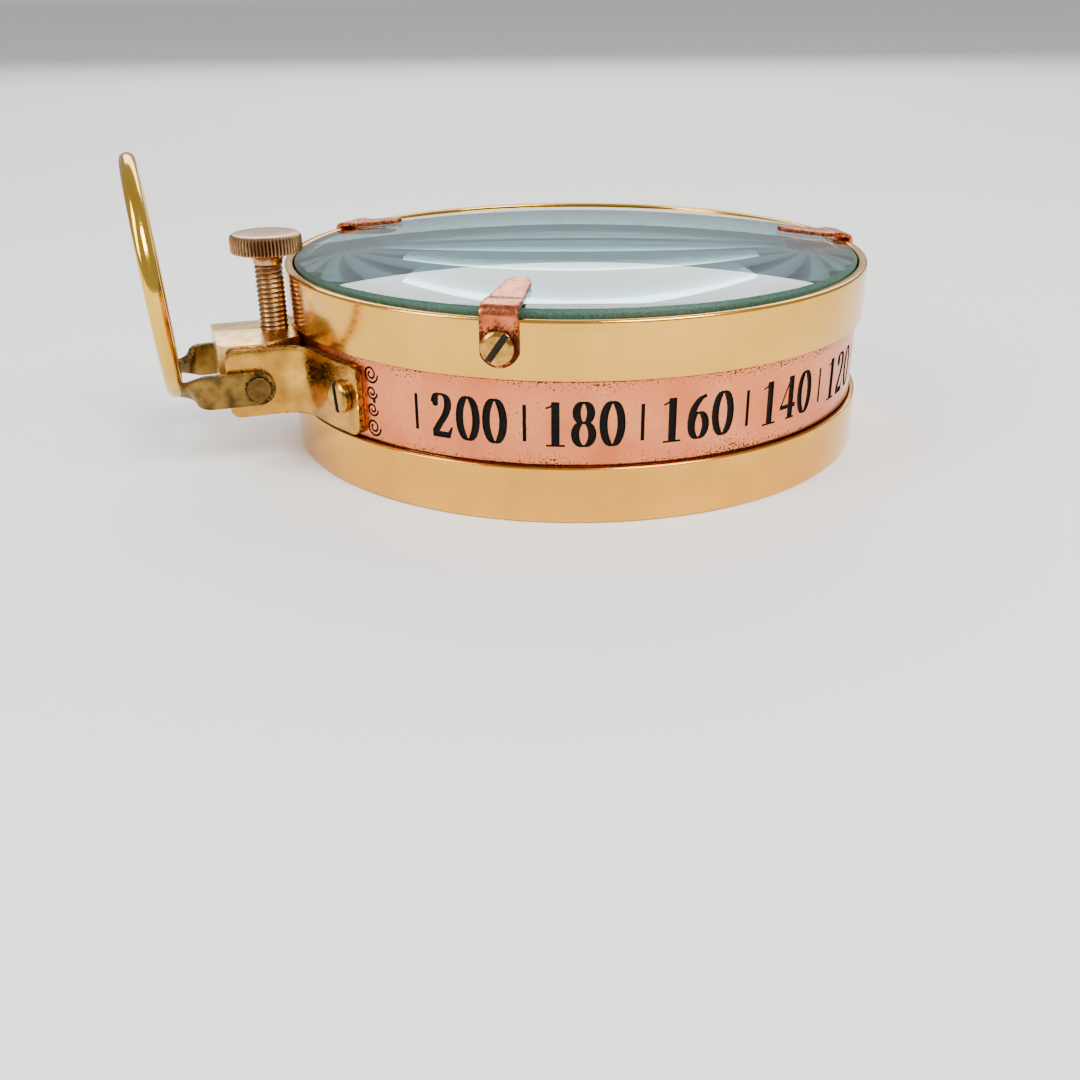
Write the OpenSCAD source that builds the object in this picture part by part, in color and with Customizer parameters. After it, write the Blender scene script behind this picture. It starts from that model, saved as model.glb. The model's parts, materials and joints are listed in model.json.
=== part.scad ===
// Handheld bearing compass: a round brass case with a copper band, a domed magnifying lens held by
// three copper clips, and a hinged thumb ring on a screwed bracket. The thumb screw bears on a lever
// that lifts the needle off its pivot for carrying.
// Frame: origin at the centre of the base's flat face, +Z up. The bracket points along bracket_azimuth.

/* [Case] */
// Outer radius of the two brass rings
case_r = 45; // [40:0.5:50]
// Height of the lower brass ring
lower_h = 7.8; // [7.6:0.1:8]
// Height of the copper band that shows between the rings
band_h = 11.7; // [11.5:0.1:12]
// Height of the upper brass ring
upper_h = 7.9; // [7.5:0.1:8.4]
// How far the copper band sits in from the rings
band_inset = 0.9; // [0.6:0.1:1.2]
// Thickness of the copper band
band_t = 0.6; // [0.4:0.1:0.6]
// Thickness of the base
floor_t = 1.6; // [1.2:0.1:2]

/* [Lens] */
// Clearance between the lens and the upper ring
lens_gap = 0.25; // [0.2:0.05:0.4]
// Rise of the domed face above the lens's ground bevel
lens_rise = 3; // [2:0.2:3.2]
// Thickness of the lens at its edge
lens_edge_t = 4; // [3.5:0.1:4.2]
// Width of the ground bevel
lens_bevel = 0.5; // [0.3:0.1:0.6]
// Lean of the lens towards the back, degrees
lens_lean = 0.9; // [0:0.1:1]

/* [Clips] */
// Azimuths of the three clips
clip_azimuths = [-103.6, 10, 150];
// Width of a clip at the rim
clip_w = 5; // [4:0.2:6]
// Sheet thickness of a clip
clip_t = 0.7; // [0.5:0.1:0.8]
// Radius that a clip reaches in to
clip_reach = 33.7; // [32:0.2:36]
// Height of the clip screws above the base
clip_screw_z = 24; // [23.6:0.1:24.4]

/* [Bracket] */
// Direction in which the bracket points
bracket_azimuth = -162; // [-180:1:180]
// Half of the width across the two cheeks
cheek_out = 8.3; // [8.1:0.1:8.5]
// Sheet thickness of the cheeks and arms
sheet_t = 1.1; // [0.9:0.1:1.2]
// Radius of the bend from cheek to flange
flare_r = 5; // [4:0.5:5.5]
// Angle that each flange reaches to, either side of the bracket's middle
flange_angle = 29.3; // [27:0.1:31]
// Outer end of the cheeks, from the case's axis
cheek_end = 55.7; // [55:0.1:56.2]
// Bottom edge of the cheeks
cheek_z0 = 8.2; // [8:0.1:8.6]
// Top edge of the cheeks
cheek_z1 = 18.2; // [17.8:0.1:18.6]

/* [Thumb ring] */
// Distance of the hinge pin from the case's axis
pin_u = 51.5; // [51.4:0.1:51.7]
// Height of the hinge pin
pin_z = 12.65; // [12.4:0.05:12.9]
// Radius of the hinge pin
pin_r = 1.4; // [1.2:0.05:1.4]
// Width of the fork arms
arm_w = 4.9; // [4.4:0.1:5]
// Mean radius of the wire ring
loop_r = 16; // [15:0.5:16.5]
// Radius of the wire
wire_r = 1.2; // [1:0.1:1.3]
// Lean of the ring away from the case, degrees
loop_lean = 3.6; // [0:0.2:6]

/* [Thumb screw] */
// Distance of the thumb screw from the case's axis
screw_u = 47.5; // [47.4:0.1:47.6]
// Radius of the screw's shank
shank_r = 2.1; // [2:0.05:2.1]
// Radius of the knurled head
head_r = 5.2; // [4.8:0.1:5.5]
// Thickness of the knurled head
head_h = 2.8; // [2.4:0.1:3.2]
// Top of the knurled head
head_top = 33; // [32:0.5:34]
// Number of knurl teeth
knurl_teeth = 60; // [36:2:80]

/* [Needle] */
// Length of the needle
needle_l = 66; // [56:2:70]
// Width of the needle at its hub
needle_w = 6.4; // [5:0.2:7]
// Thickness of the needle
needle_t = 0.5; // [0.4:0.1:0.6]

/* [Hidden] */
$fn = 96;
eps = 0.01;

// Case heights and radii
band_z0 = lower_h;
ring_z0 = lower_h + band_h;
rim_z = ring_z0 + upper_h;
band_r = case_r - band_inset;
spigot_r = band_r - band_t;
wall_in = 42.2;
ledge_in = 40.5;
dial_z = 13.2;
dial_t = 0.6;
spacer_top = 19.3;
rim_in = case_r - 1.3;
seat_in = 41;
seat_z = 22.4;

// Lens
lens_r = rim_in - lens_gap;
lens_top_r = lens_r - lens_bevel;
lens_z0 = rim_z - 0.2 - lens_edge_t;
lens_dome_r = (lens_top_r * lens_top_r + lens_rise * lens_rise) / (2 * lens_rise);

// Clips
clip_gap = 0.05;
clip_out = case_r + clip_gap + clip_t;
clip_foot_z = clip_screw_z - 2.75;
clip_screw_head_r = 2.2;
clip_screw_r = 1.1;

// Height of the lens's domed face at radius r and azimuth a, with its lean
function lens_face_z(r, a) = lens_z0 + lens_edge_t + lens_bevel + lens_rise
    - (lens_dome_r - sqrt(lens_dome_r * lens_dome_r - r * r)) - r * sin(a) * sin(lens_lean);

// Bracket
cheek_in = cheek_out - sheet_t;
flange_in = band_r + 0.05;
flange_out = flange_in + sheet_t;
flare_y = cheek_out + flare_r;
flare_x = sqrt(pow(flange_out + flare_r, 2) - flare_y * flare_y);
flare_angle = atan2(flare_y, flare_x);
cheek_screw_angle = 25;
cheek_azimuths = [bracket_azimuth - cheek_screw_angle, bracket_azimuth + cheek_screw_angle];
cheek_screw_z = 13.4;
cheek_screw_head_r = 2.3;
cheek_screw_r = 1.25;
corner_r = 1.5;

// Screw block
block_in = band_r + 0.5;
block_out = 56.5;
block_half = cheek_in - 0.05;
block_z0 = 10.2;
block_z1 = 18.5;
block_crown = 0.7;
bore_r = shank_r + 0.05;

// Fork
arm_in = cheek_out + 0.2;
arm_out = arm_in + sheet_t;
neck_u0 = 58.6;
neck_u1 = 61.5;
pin_head_r = 1.75;
pin_head_t = 0.35;
loop_u = 63.85;
loop_z = 27.7;

// Lifting gear
lever_z = 9.5;
lever_t = 1;
lever_half_w = 2;
fulcrum_u = 22;
fulcrum_r = 0.9;
lever_mid_z = lever_z + lever_t / 2;
foot_z = 10.8;
foot_t = 0.8;
screw_end_z = 11.7;
stub_r = 0.8;
post_r = 1.5;
collar_in = post_r + 0.25;
collar_out = 3.3;
collar_flange_r = 4.5;
collar_z = 10.8;
collar_top = 14.9;
hub_z = 15.2;
needle_z = 16.2;
post_tip_z = 17.7;

module at_bracket() rotate([0, 0, bracket_azimuth]) children();

module tube(r_out, r_in, z0, z1)
    translate([0, 0, z0]) difference() {
        cylinder(r = r_out, h = z1 - z0);
        translate([0, 0, -eps]) cylinder(r = r_in, h = z1 - z0 + 2 * eps);
    }

// Slot in the case wall that the lift lever passes through
module lever_slot()
    at_bracket() translate([38, -2.5, band_z0 + 0.15]) cube([8, 5, 3]);

// Radial screw holes in the case wall
module wall_holes(r, z, angles)
    for (a = angles)
        rotate([0, 0, a]) translate([38.5, 0, z]) rotate([0, 90, 0]) cylinder(r = r, h = 8);

// Lower brass cup: base, lower ring and the thin wall that carries the copper band
module base_cup() color("goldenrod") difference() {
    rotate_extrude() polygon([[0, 0], [case_r - 0.3, 0], [case_r, 0.3], [case_r, lower_h - 0.4],
        [case_r - 0.4, lower_h], [spigot_r, lower_h], [spigot_r, ring_z0 - 0.05],
        [wall_in, ring_z0 - 0.05], [wall_in, dial_z], [ledge_in, dial_z], [ledge_in, floor_t],
        [0, floor_t]]);
    lever_slot();
    wall_holes(cheek_screw_r + 0.05, cheek_screw_z, cheek_azimuths);
    cylinder(r = 1.2, h = 10, center = true);
    at_bracket() translate([fulcrum_u, 0, 0]) cylinder(r = 1.2, h = 10, center = true);
}

// Copper band, wrapped round the wall between the rings
module copper_band() color("#d98b6d") difference() {
    tube(band_r, spigot_r + 0.02, band_z0 + 0.02, ring_z0 - 0.02);
    lever_slot();
    wall_holes(cheek_screw_r + 0.05, cheek_screw_z, cheek_azimuths);
}

// Upper brass ring with the ledge that the lens sits on
module upper_ring() color("goldenrod") difference() {
    rotate_extrude() polygon([[seat_in, ring_z0], [case_r, ring_z0], [case_r, rim_z - 0.4],
        [case_r - 0.4, rim_z], [rim_in, rim_z], [rim_in, seat_z], [seat_in, seat_z]]);
    wall_holes(clip_screw_r + 0.05, clip_screw_z, clip_azimuths);
}

// Thick plano-convex magnifier with a ground bevel, flat face down
module magnifier_lens() color("#bfe3e6", 0.4)
    translate([0, 0, lens_z0]) rotate([-lens_lean, 0, 0]) {
        cylinder(r = lens_r, h = lens_edge_t);
        translate([0, 0, lens_edge_t]) cylinder(r1 = lens_r, r2 = lens_top_r, h = lens_bevel);
        translate([0, 0, lens_edge_t + lens_bevel]) intersection() {
            cylinder(r = lens_top_r, h = lens_rise + 1);
            translate([0, 0, lens_rise - lens_dome_r]) sphere(r = lens_dome_r, $fn = 360);
        }
    }

// One clip: a tab outside the ring, a bend over the rim and a tapered tongue onto the glass
module lens_clip(azimuth) color("#c9805f") rotate([0, 0, azimuth]) {
    bend_z = max(lens_face_z(lens_top_r, azimuth) + 0.12, rim_z + 0.1);
    tip_z = lens_face_z(clip_reach, azimuth) + 0.12;
    difference() {
        intersection() {
            rotate([90, 0, 0]) linear_extrude(height = 10, center = true) polygon([
                [case_r + clip_gap, clip_foot_z], [clip_out, clip_foot_z],
                [clip_out, bend_z - 0.1], [clip_out - 0.2, bend_z + 0.35],
                [clip_out - 0.6, bend_z + clip_t - 0.1], [lens_top_r, bend_z + clip_t],
                [clip_reach, tip_z + clip_t], [clip_reach, tip_z], [lens_top_r, bend_z],
                [case_r - 0.4, bend_z - 0.1], [case_r + clip_gap, bend_z - 0.5]]);
            union() {
                translate([case_r - 0.6, 0, clip_screw_z]) rotate([0, 90, 0]) cylinder(r = 2.75, h = 3);
                translate([case_r - 0.6, -clip_w / 2, clip_screw_z]) cube([3, clip_w, 10]);
                translate([0, 0, rim_z - 0.6]) linear_extrude(height = 6) polygon(concat(
                    [[case_r + 0.2, -clip_w / 2], [case_r + 0.2, clip_w / 2]],
                    [for (a = [90 : -15 : -90]) [clip_reach + 1.6 - 1.6 * cos(a), 1.6 * sin(a)]]));
            }
        }
        translate([0, 0, clip_screw_z]) rotate([0, 90, 0]) cylinder(r = clip_screw_r + 0.05, h = 60);
    }
}
module lens_clip_front() lens_clip(clip_azimuths[0]);
module lens_clip_right() lens_clip(clip_azimuths[1]);
module lens_clip_back() lens_clip(clip_azimuths[2]);

// Slotted cheese-head screw, its head's underside at x = 0, pointing outwards along +X
module slotted_screw(head_r, head_t, stem_r, stem_l, slot_turn)
    rotate([0, 90, 0]) rotate([0, 0, slot_turn]) difference() {
        union() {
            cylinder(r = head_r, h = head_t - 0.3);
            translate([0, 0, head_t - 0.3]) cylinder(r1 = head_r, r2 = head_r - 0.5, h = 0.3);
            translate([0, 0, -stem_l]) cylinder(r = stem_r, h = stem_l + eps);
        }
        translate([-head_r - 1, -0.4, head_t - 0.6]) cube([2 * head_r + 2, 0.8, 1]);
    }

// Three screws that hold the clips to the upper ring
module clip_screws() color("gold")
    for (i = [0 : 2]) rotate([0, 0, clip_azimuths[i]]) translate([clip_out + 0.02, 0, clip_screw_z])
        slotted_screw(clip_screw_head_r, 1.1, clip_screw_r, 1.95, 25 + 50 * i);

// Plan of the front cheek: straight side, flared bend and flange round the case
module cheek_plan() {
    translate([flare_x, cheek_in]) square([cheek_end - flare_x, sheet_t]);
    intersection() {
        translate([flare_x, flare_y]) difference() {
            circle(r = flare_r + sheet_t);
            circle(r = flare_r);
        }
        polygon([[flare_x, flare_y], [flare_x, 0], [0, 0], [0, 0]]);
    }
    intersection() {
        difference() {
            circle(r = flange_out);
            circle(r = flange_in);
        }
        polygon([[0, 0], [60 * cos(flare_angle), 60 * sin(flare_angle)],
            [60 * cos(flange_angle), 60 * sin(flange_angle)]]);
    }
}

// Rounded plate outline, standing on its edge in the X-Z plane
module rounded_plate(x0, x1, z0, z1, r)
    rotate([90, 0, 0]) linear_extrude(height = 60, center = true) {
        translate([x0, z0 + r]) square([x1 - x0, z1 - z0 - 2 * r]);
        translate([x0 + r, z0]) square([x1 - x0 - 2 * r, z1 - z0]);
        for (x = [x0 + r, x1 - r], z = [z0 + r, z1 - r]) translate([x, z]) circle(r = r);
    }

module cheek() difference() {
    intersection() {
        translate([0, 0, cheek_z0]) linear_extrude(height = cheek_z1 - cheek_z0) cheek_plan();
        union() {
            rounded_plate(flare_x - 3, cheek_end, cheek_z0, cheek_z1, corner_r);
            rotate([0, 0, flange_angle]) translate([flange_in, 0, 0]) rotate([0, 0, 90])
                rounded_plate(-16, 0, cheek_z0, cheek_z1, corner_r);
        }
    }
    translate([pin_u, 0, pin_z]) rotate([-90, 0, 0]) cylinder(r = pin_r + 0.03, h = 20);
    rotate([0, 0, cheek_screw_angle]) translate([38, 0, cheek_screw_z]) rotate([0, 90, 0])
        cylinder(r = cheek_screw_r + 0.05, h = 12);
}
// Bracket cheeks: bent brass strips that stand out either side of the block
module cheek_front() color("goldenrod") at_bracket() cheek();
module cheek_back() color("goldenrod") at_bracket() mirror([0, 1, 0]) cheek();

// Two screws that hold the flanges to the case
module cheek_screws() color("gold") at_bracket()
    for (s = [-1, 1]) rotate([0, 0, s * cheek_screw_angle])
        translate([flange_out + 0.02, 0, cheek_screw_z])
            slotted_screw(cheek_screw_head_r, 1.2, cheek_screw_r, 2.95, 8);

// Tapped block between the cheeks, with a crowned top and a pocket for the screw's foot
module screw_block() color("#e7d3a8") at_bracket() difference() {
    intersection() {
        translate([block_in, -block_half, block_z0])
            cube([block_out - block_in, 2 * block_half, block_z1 + block_crown - block_z0]);
        rounded_plate(block_in - 5, block_out, block_z0 - 5, block_z1 + block_crown + 5, 1.2);
        translate([0, 0, block_z1 + block_crown - 40]) rotate([0, 90, 0])
            cylinder(r = 40, h = 80, $fn = 240);
        linear_extrude(height = 40) polygon([[block_in, -block_half + 1.8], [50, -block_half],
            [block_out - 1, -block_half], [block_out, -block_half + 1],
            [block_out, block_half - 1], [block_out - 1, block_half], [50, block_half],
            [block_in, block_half - 1.8]]);
    }
    translate([screw_u, 0, 0]) cylinder(r = bore_r, h = 40);
    translate([pin_u, 0, pin_z]) rotate([90, 0, 0]) cylinder(r = pin_r + 0.03, h = 40, center = true);
    translate([block_in - 1, -3.5, block_z0 - 1]) cube([screw_u + 2.1 - block_in + 1, 7, 3.2]);
}

// Riveted pin through the arms, the cheeks and the block
module hinge_pin() color("#b08d4a") at_bracket() translate([pin_u, 0, pin_z]) rotate([90, 0, 0]) {
    cylinder(r = pin_r, h = 2 * arm_out + 0.2, center = true);
    for (s = [-1, 1]) translate([0, 0, s * (arm_out + 0.1 + pin_head_t / 2)])
        cylinder(r = pin_head_r, h = pin_head_t, center = true);
}

module fork_arm() difference() {
    union() {
        translate([pin_u, arm_in, pin_z - arm_w / 2]) cube([neck_u0 - pin_u, sheet_t, arm_w]);
        translate([pin_u, arm_in, pin_z]) rotate([-90, 0, 0]) cylinder(r = arm_w / 2, h = sheet_t);
        hull() {
            translate([neck_u0 - 0.3, arm_in, pin_z - arm_w / 2]) cube([0.3, sheet_t, arm_w]);
            translate([neck_u1 - 1.2, 6.9, pin_z - 1.1]) cube([0.3, 1.3, 2.4]);
        }
        hull() {
            translate([neck_u1 - 1.2, 6.9, pin_z - 1.1]) cube([0.3, 1.3, 2.4]);
            translate([neck_u1 + 0.9, 5.2, pin_z - 1.1]) cube([0.4, 1.8, 2.4]);
        }
    }
    translate([pin_u, 0, pin_z]) rotate([-90, 0, 0]) cylinder(r = pin_r + 0.04, h = 20);
}
// Fork arms: flat strips on the pin, drawn in at the neck and brazed to the ring
module fork_arm_front() color("#8d7440") at_bracket() fork_arm();
module fork_arm_back() color("#8d7440") at_bracket() mirror([0, 1, 0]) fork_arm();

// Thumb ring: round brass wire, brazed to the two necks
module thumb_ring() color("gold") at_bracket() translate([loop_u, 0, loop_z])
    rotate([0, loop_lean, 0]) rotate([0, 90, 0]) rotate_extrude($fn = 96)
        translate([loop_r, 0]) circle(r = wire_r, $fn = 32);

// Thumb screw: straight-knurled head, fillet and shank, bored for the foot's stub
module thumb_screw() color("#a98564") at_bracket() translate([screw_u, 0, 0]) {
    translate([0, 0, head_top - head_h]) linear_extrude(height = head_h - 0.3)
        polygon([for (i = [0 : 2 * knurl_teeth - 1]) let (a = 180 * i / knurl_teeth,
            r = head_r - 0.3 * (i % 2)) [r * cos(a), r * sin(a)]]);
    translate([0, 0, head_top - 1]) cylinder(r = head_r - 0.6, h = 1);
    difference() {
        rotate_extrude() polygon(concat([[0, screw_end_z], [shank_r - 0.3, screw_end_z],
            [shank_r, screw_end_z + 0.3]],
            [for (a = [0 : 15 : 90]) [shank_r + 1.6 * (1 - cos(a)), head_top - head_h - 1.6 + 1.6 * sin(a)]],
            [[shank_r + 1.6, head_top - head_h + 0.5], [0, head_top - head_h + 0.5]]));
        translate([0, 0, screw_end_z - eps]) cylinder(r = stub_r + 0.07, h = 1.8);
    }
}

// Swivel foot in the end of the thumb screw
module screw_foot() color("silver") at_bracket() translate([screw_u, 0, foot_z]) {
    cylinder(r = 1.9, h = foot_t);
    cylinder(r = stub_r, h = 2.4);
}

// Lever under the dial: pressed down outside the case, it raises the lift collar
module lift_lever() color("darkgoldenrod") at_bracket() difference() {
    union() {
        translate([-1.5, -lever_half_w - 1.4, lever_z]) cube([8, 2 * lever_half_w + 2.8, lever_t]);
        translate([5, -lever_half_w, lever_z]) cube([43.8, 2 * lever_half_w, lever_t]);
        translate([fulcrum_u, 0, lever_mid_z]) rotate([90, 0, 0])
            cylinder(r = 1.9, h = 2 * lever_half_w, center = true);
    }
    translate([-5, -1.9, lever_z - 1]) cube([8, 3.8, 4]);
    translate([fulcrum_u, 0, lever_mid_z]) rotate([90, 0, 0])
        cylinder(r = fulcrum_r + 0.05, h = 20, center = true);
}

// Stand with two ears, riveted through the base, that carries the lever's fulcrum pin
module lever_stand() color("goldenrod") at_bracket() difference() {
    translate([fulcrum_u, 0, 0]) {
        translate([-2.5, -3.6, floor_t]) cube([5, 7.2, 1.2]);
        for (y = [-3.6, 2.4]) translate([-2.5, y, floor_t]) cube([5, 1.2, lever_mid_z + 2 - floor_t]);
        cylinder(r = 1.15, h = floor_t + 0.5);
    }
    translate([fulcrum_u, 0, lever_mid_z]) rotate([90, 0, 0])
        cylinder(r = fulcrum_r + 0.02, h = 20, center = true);
}

module fulcrum_pin() color("silver") at_bracket() translate([fulcrum_u, 0, lever_mid_z])
    rotate([90, 0, 0]) cylinder(r = fulcrum_r, h = 8.2, center = true);

// Flanged collar that slides on the pivot post and lifts the needle
module lift_collar() color("goldenrod") {
    tube(collar_flange_r, collar_in, collar_z, collar_z + 0.7);
    tube(collar_out, collar_in, collar_z, collar_top);
}

// Pivot post, riveted through the base, turned to a hard point
module pivot_post() color("silver") rotate_extrude() polygon([[0, 0], [1.15, 0], [1.15, floor_t],
    [3.5, floor_t], [3.5, floor_t + 1], [post_r, floor_t + 1], [post_r, 14.2], [0.7, 15],
    [0.7, 16.2], [0, post_tip_z]]);

// Lozenge needle with a hole for the cap
module compass_needle() color("steelblue") difference() {
    translate([0, 0, needle_z]) linear_extrude(height = needle_t) polygon([
        [0, needle_l / 2], [-needle_w / 2, 0], [0, -needle_l / 2], [needle_w / 2, 0]]);
    translate([0, 0, needle_z - 1]) cylinder(r = 2.25, h = 3);
}

// Brass cap staked into the needle, hollow for the jewel and the pivot
module needle_cap() color("gold") rotate_extrude() polygon([[1.6, hub_z], [2.9, hub_z],
    [2.9, needle_z - 0.02], [2.2, needle_z - 0.02], [2.2, needle_z + needle_t + 0.5],
    [1.5, 19.3], [0, 19.6], [0, 19.0], [0.9, 19.0], [1.2, 18.4], [1.2, 17.0], [1.6, 16.4]]);

// Cup jewel that rides on the point
module needle_jewel() color("crimson") rotate_extrude() polygon([[0, 17.9], [0, 18.9], [0.85, 18.9],
    [1.15, 18.35], [1.15, 17.3], [0.6, 17.3]]);

// Balance rider on the south half of the needle
module needle_rider() color("gold") translate([0, -15, needle_z + needle_t / 2]) difference() {
    cube([5.6, 1.6, 1.3], center = true);
    cube([3.7, 3, needle_t + 0.04], center = true);
}

// Printed dial with a central hole and two screw holes
module dial_plate() color("ivory") difference() {
    translate([0, 0, dial_z]) cylinder(r = wall_in - 0.1, h = dial_t);
    translate([0, 0, dial_z - 1]) cylinder(r = 4.2, h = 3);
    for (a = [45, 225]) rotate([0, 0, a]) translate([37.5, 0, dial_z - 1]) cylinder(r = 0.75, h = 3);
}

// Plain ring that holds the dial down and keeps the glass off it
module spacer_ring() color("silver") tube(wall_in - 0.1, 40.4, dial_z + dial_t + 0.02, spacer_top);

// Two small screws in posts that stand on the base and hold the dial
module dial_screws() color("gold") for (a = [45, 225]) rotate([0, 0, a]) translate([37.5, 0, 0]) {
    translate([0, 0, floor_t]) cylinder(r = 2, h = dial_z - floor_t);
    translate([0, 0, dial_z - 1]) cylinder(r = 0.7, h = dial_t + 1.1);
    translate([0, 0, dial_z + dial_t + 0.02]) cylinder(r = 1.3, h = 0.5);
}

base_cup();
copper_band();
upper_ring();
magnifier_lens();
lens_clip_front();
lens_clip_right();
lens_clip_back();
clip_screws();
cheek_front();
cheek_back();
cheek_screws();
screw_block();
hinge_pin();
fork_arm_front();
fork_arm_back();
thumb_ring();
thumb_screw();
screw_foot();
lift_lever();
lever_stand();
fulcrum_pin();
lift_collar();
pivot_post();
compass_needle();
needle_cap();
needle_jewel();
needle_rider();
dial_plate();
spacer_ring();
dial_screws();
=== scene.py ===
import json

import bmesh
import bpy
import numpy as np
from math import atan2, cos, pi, radians, sin, sqrt
from mathutils import Matrix, Vector
from mathutils.geometry import delaunay_2d_cdt


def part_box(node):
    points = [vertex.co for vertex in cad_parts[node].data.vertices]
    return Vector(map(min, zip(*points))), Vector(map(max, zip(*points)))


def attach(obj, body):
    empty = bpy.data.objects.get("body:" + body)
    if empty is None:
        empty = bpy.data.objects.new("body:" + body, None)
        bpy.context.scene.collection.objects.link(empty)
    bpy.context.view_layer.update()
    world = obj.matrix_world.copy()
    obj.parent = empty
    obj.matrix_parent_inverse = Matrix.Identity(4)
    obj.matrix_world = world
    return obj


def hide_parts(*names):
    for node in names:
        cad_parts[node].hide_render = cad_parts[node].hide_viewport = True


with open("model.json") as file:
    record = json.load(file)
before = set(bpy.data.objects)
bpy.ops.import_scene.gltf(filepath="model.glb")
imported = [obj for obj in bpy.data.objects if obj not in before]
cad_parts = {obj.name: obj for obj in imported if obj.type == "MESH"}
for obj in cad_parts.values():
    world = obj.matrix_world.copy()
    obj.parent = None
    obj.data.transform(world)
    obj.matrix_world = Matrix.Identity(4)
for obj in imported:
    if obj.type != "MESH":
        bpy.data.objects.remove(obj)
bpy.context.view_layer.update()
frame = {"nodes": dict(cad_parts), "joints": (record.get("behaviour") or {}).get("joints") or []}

# ---------------------------------------------------------------------------
# Camera: just in front of the compass and a little above its rim.
MM = 0.001
camera_place = np.array([-5.758, -185.795, 63.695]) * MM
camera_dip = radians(25.125)
camera_roll = radians(-0.479)
camera_data = bpy.data.cameras.new("camera")
camera_data.sensor_width = 36.0
camera_data.lens = 38.73
camera_data.clip_start = 0.01
camera = bpy.data.objects.new("camera", camera_data)
bpy.context.scene.collection.objects.link(camera)
look = np.array([0.0, cos(camera_dip), -sin(camera_dip)])
level_up = np.array([0.0, sin(camera_dip), cos(camera_dip)])
side = np.array([1.0, 0.0, 0.0])
cam_right = cos(camera_roll) * side + sin(camera_roll) * level_up
cam_up = -sin(camera_roll) * side + cos(camera_roll) * level_up
camera.matrix_world = Matrix((
    (cam_right[0], cam_up[0], -look[0], camera_place[0]),
    (cam_right[1], cam_up[1], -look[1], camera_place[1]),
    (cam_right[2], cam_up[2], -look[2], camera_place[2]),
    (0.0, 0.0, 0.0, 1.0)))
bpy.context.scene.camera = camera


# ---------------------------------------------------------------------------
# Base cup: a cup turned from brass bar. It is the base, the lower ring and the thin wall inside the
# copper band. Its outside is polished on the lathe, which leaves fine rings round it.
def linear(code):
    """Turns an sRGB hex colour such as '#c89b5a' into linear RGBA, by the sRGB curve."""
    out = []
    for k in (1, 3, 5):
        c = int(code[k:k + 2], 16) / 255
        out.append(c / 12.92 if c <= 0.04045 else ((c + 0.055) / 1.055) ** 2.4)
    return (*out, 1.0)


def add_node(tree, kind, links=None, **settings):
    """Adds one shader node, sets its properties and socket values, and links its inputs."""
    node = tree.nodes.new(kind)
    inputs = settings.pop("inputs", {})
    for key, value in settings.items():
        setattr(node, key, value)
    for key, value in inputs.items():
        node.inputs[key].default_value = value
    for key, source in (links or {}).items():
        tree.links.new(source, node.inputs[key])
    return node


def new_material(name):
    """An empty node material: returns it, its tree and its Principled shader."""
    mat = bpy.data.materials.new(name)
    mat.use_nodes = True
    tree = mat.node_tree
    tree.nodes.clear()
    shader = tree.nodes.new("ShaderNodeBsdfPrincipled")
    output = tree.nodes.new("ShaderNodeOutputMaterial")
    tree.links.new(shader.outputs["BSDF"], output.inputs["Surface"])
    return mat, tree, shader


def ramp(tree, source, stops):
    """A colour ramp through (position, colour) stops, fed by source."""
    node = add_node(tree, "ShaderNodeValToRGB", {"Fac": source})
    while len(node.color_ramp.elements) < len(stops):
        node.color_ramp.elements.new(0.5)
    for element, (at, colour) in zip(node.color_ramp.elements, stops):
        element.position = at
        element.color = colour if len(colour) == 4 else (*colour, 1.0)
    return node


def turned_metal(name, bright, dull, roughness, line_mm=0.12, line_depth=0.004):
    """Polished metal with fine lathe lines along u of the UV map (in millimetres), faint tarnish
    in soft patches, and roughness that follows both."""
    mat, tree, shader = new_material(name)
    tarnish_share = 0.35
    uv = add_node(tree, "ShaderNodeUVMap", uv_map="surface_mm")
    stretch = add_node(tree, "ShaderNodeMapping", {"Vector": uv.outputs["UV"]},
                       inputs={"Scale": (0.035, 1.0 / line_mm, 1.0)})
    lines = add_node(tree, "ShaderNodeTexNoise", {"Vector": stretch.outputs["Vector"]},
                     inputs={"Scale": 1.0, "Detail": 4.0, "Roughness": 0.6})
    place = add_node(tree, "ShaderNodeTexCoord")
    patches = add_node(tree, "ShaderNodeTexNoise", {"Vector": place.outputs["Object"]},
                       inputs={"Scale": 90.0, "Detail": 5.0, "Roughness": 0.6})
    patch_fade = ramp(tree, patches.outputs["Fac"], [(0.42, (0, 0, 0)), (0.75, (1, 1, 1))])
    blend = add_node(tree, "ShaderNodeMix", data_type="RGBA",
                     links={"Factor": patch_fade.outputs["Color"]})
    blend.inputs["A"].default_value = linear(bright)
    blend.inputs["B"].default_value = linear(dull)
    soften = add_node(tree, "ShaderNodeMix", data_type="RGBA", inputs={"Factor": tarnish_share})
    soften.inputs["A"].default_value = linear(bright)
    tree.links.new(blend.outputs["Result"], soften.inputs["B"])
    tree.links.new(soften.outputs["Result"], shader.inputs["Base Color"])
    rough = add_node(tree, "ShaderNodeMapRange", {"Value": lines.outputs["Fac"]},
                     inputs={"From Min": 0.35, "From Max": 0.7, "To Min": roughness * 0.75,
                             "To Max": roughness * 1.5})
    tree.links.new(rough.outputs["Result"], shader.inputs["Roughness"])
    bump = add_node(tree, "ShaderNodeBump", {"Height": lines.outputs["Fac"]},
                    inputs={"Strength": 1.0, "Distance": line_depth * MM})
    tree.links.new(bump.outputs["Normal"], shader.inputs["Normal"])
    shader.inputs["Metallic"].default_value = 1.0
    return mat


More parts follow.
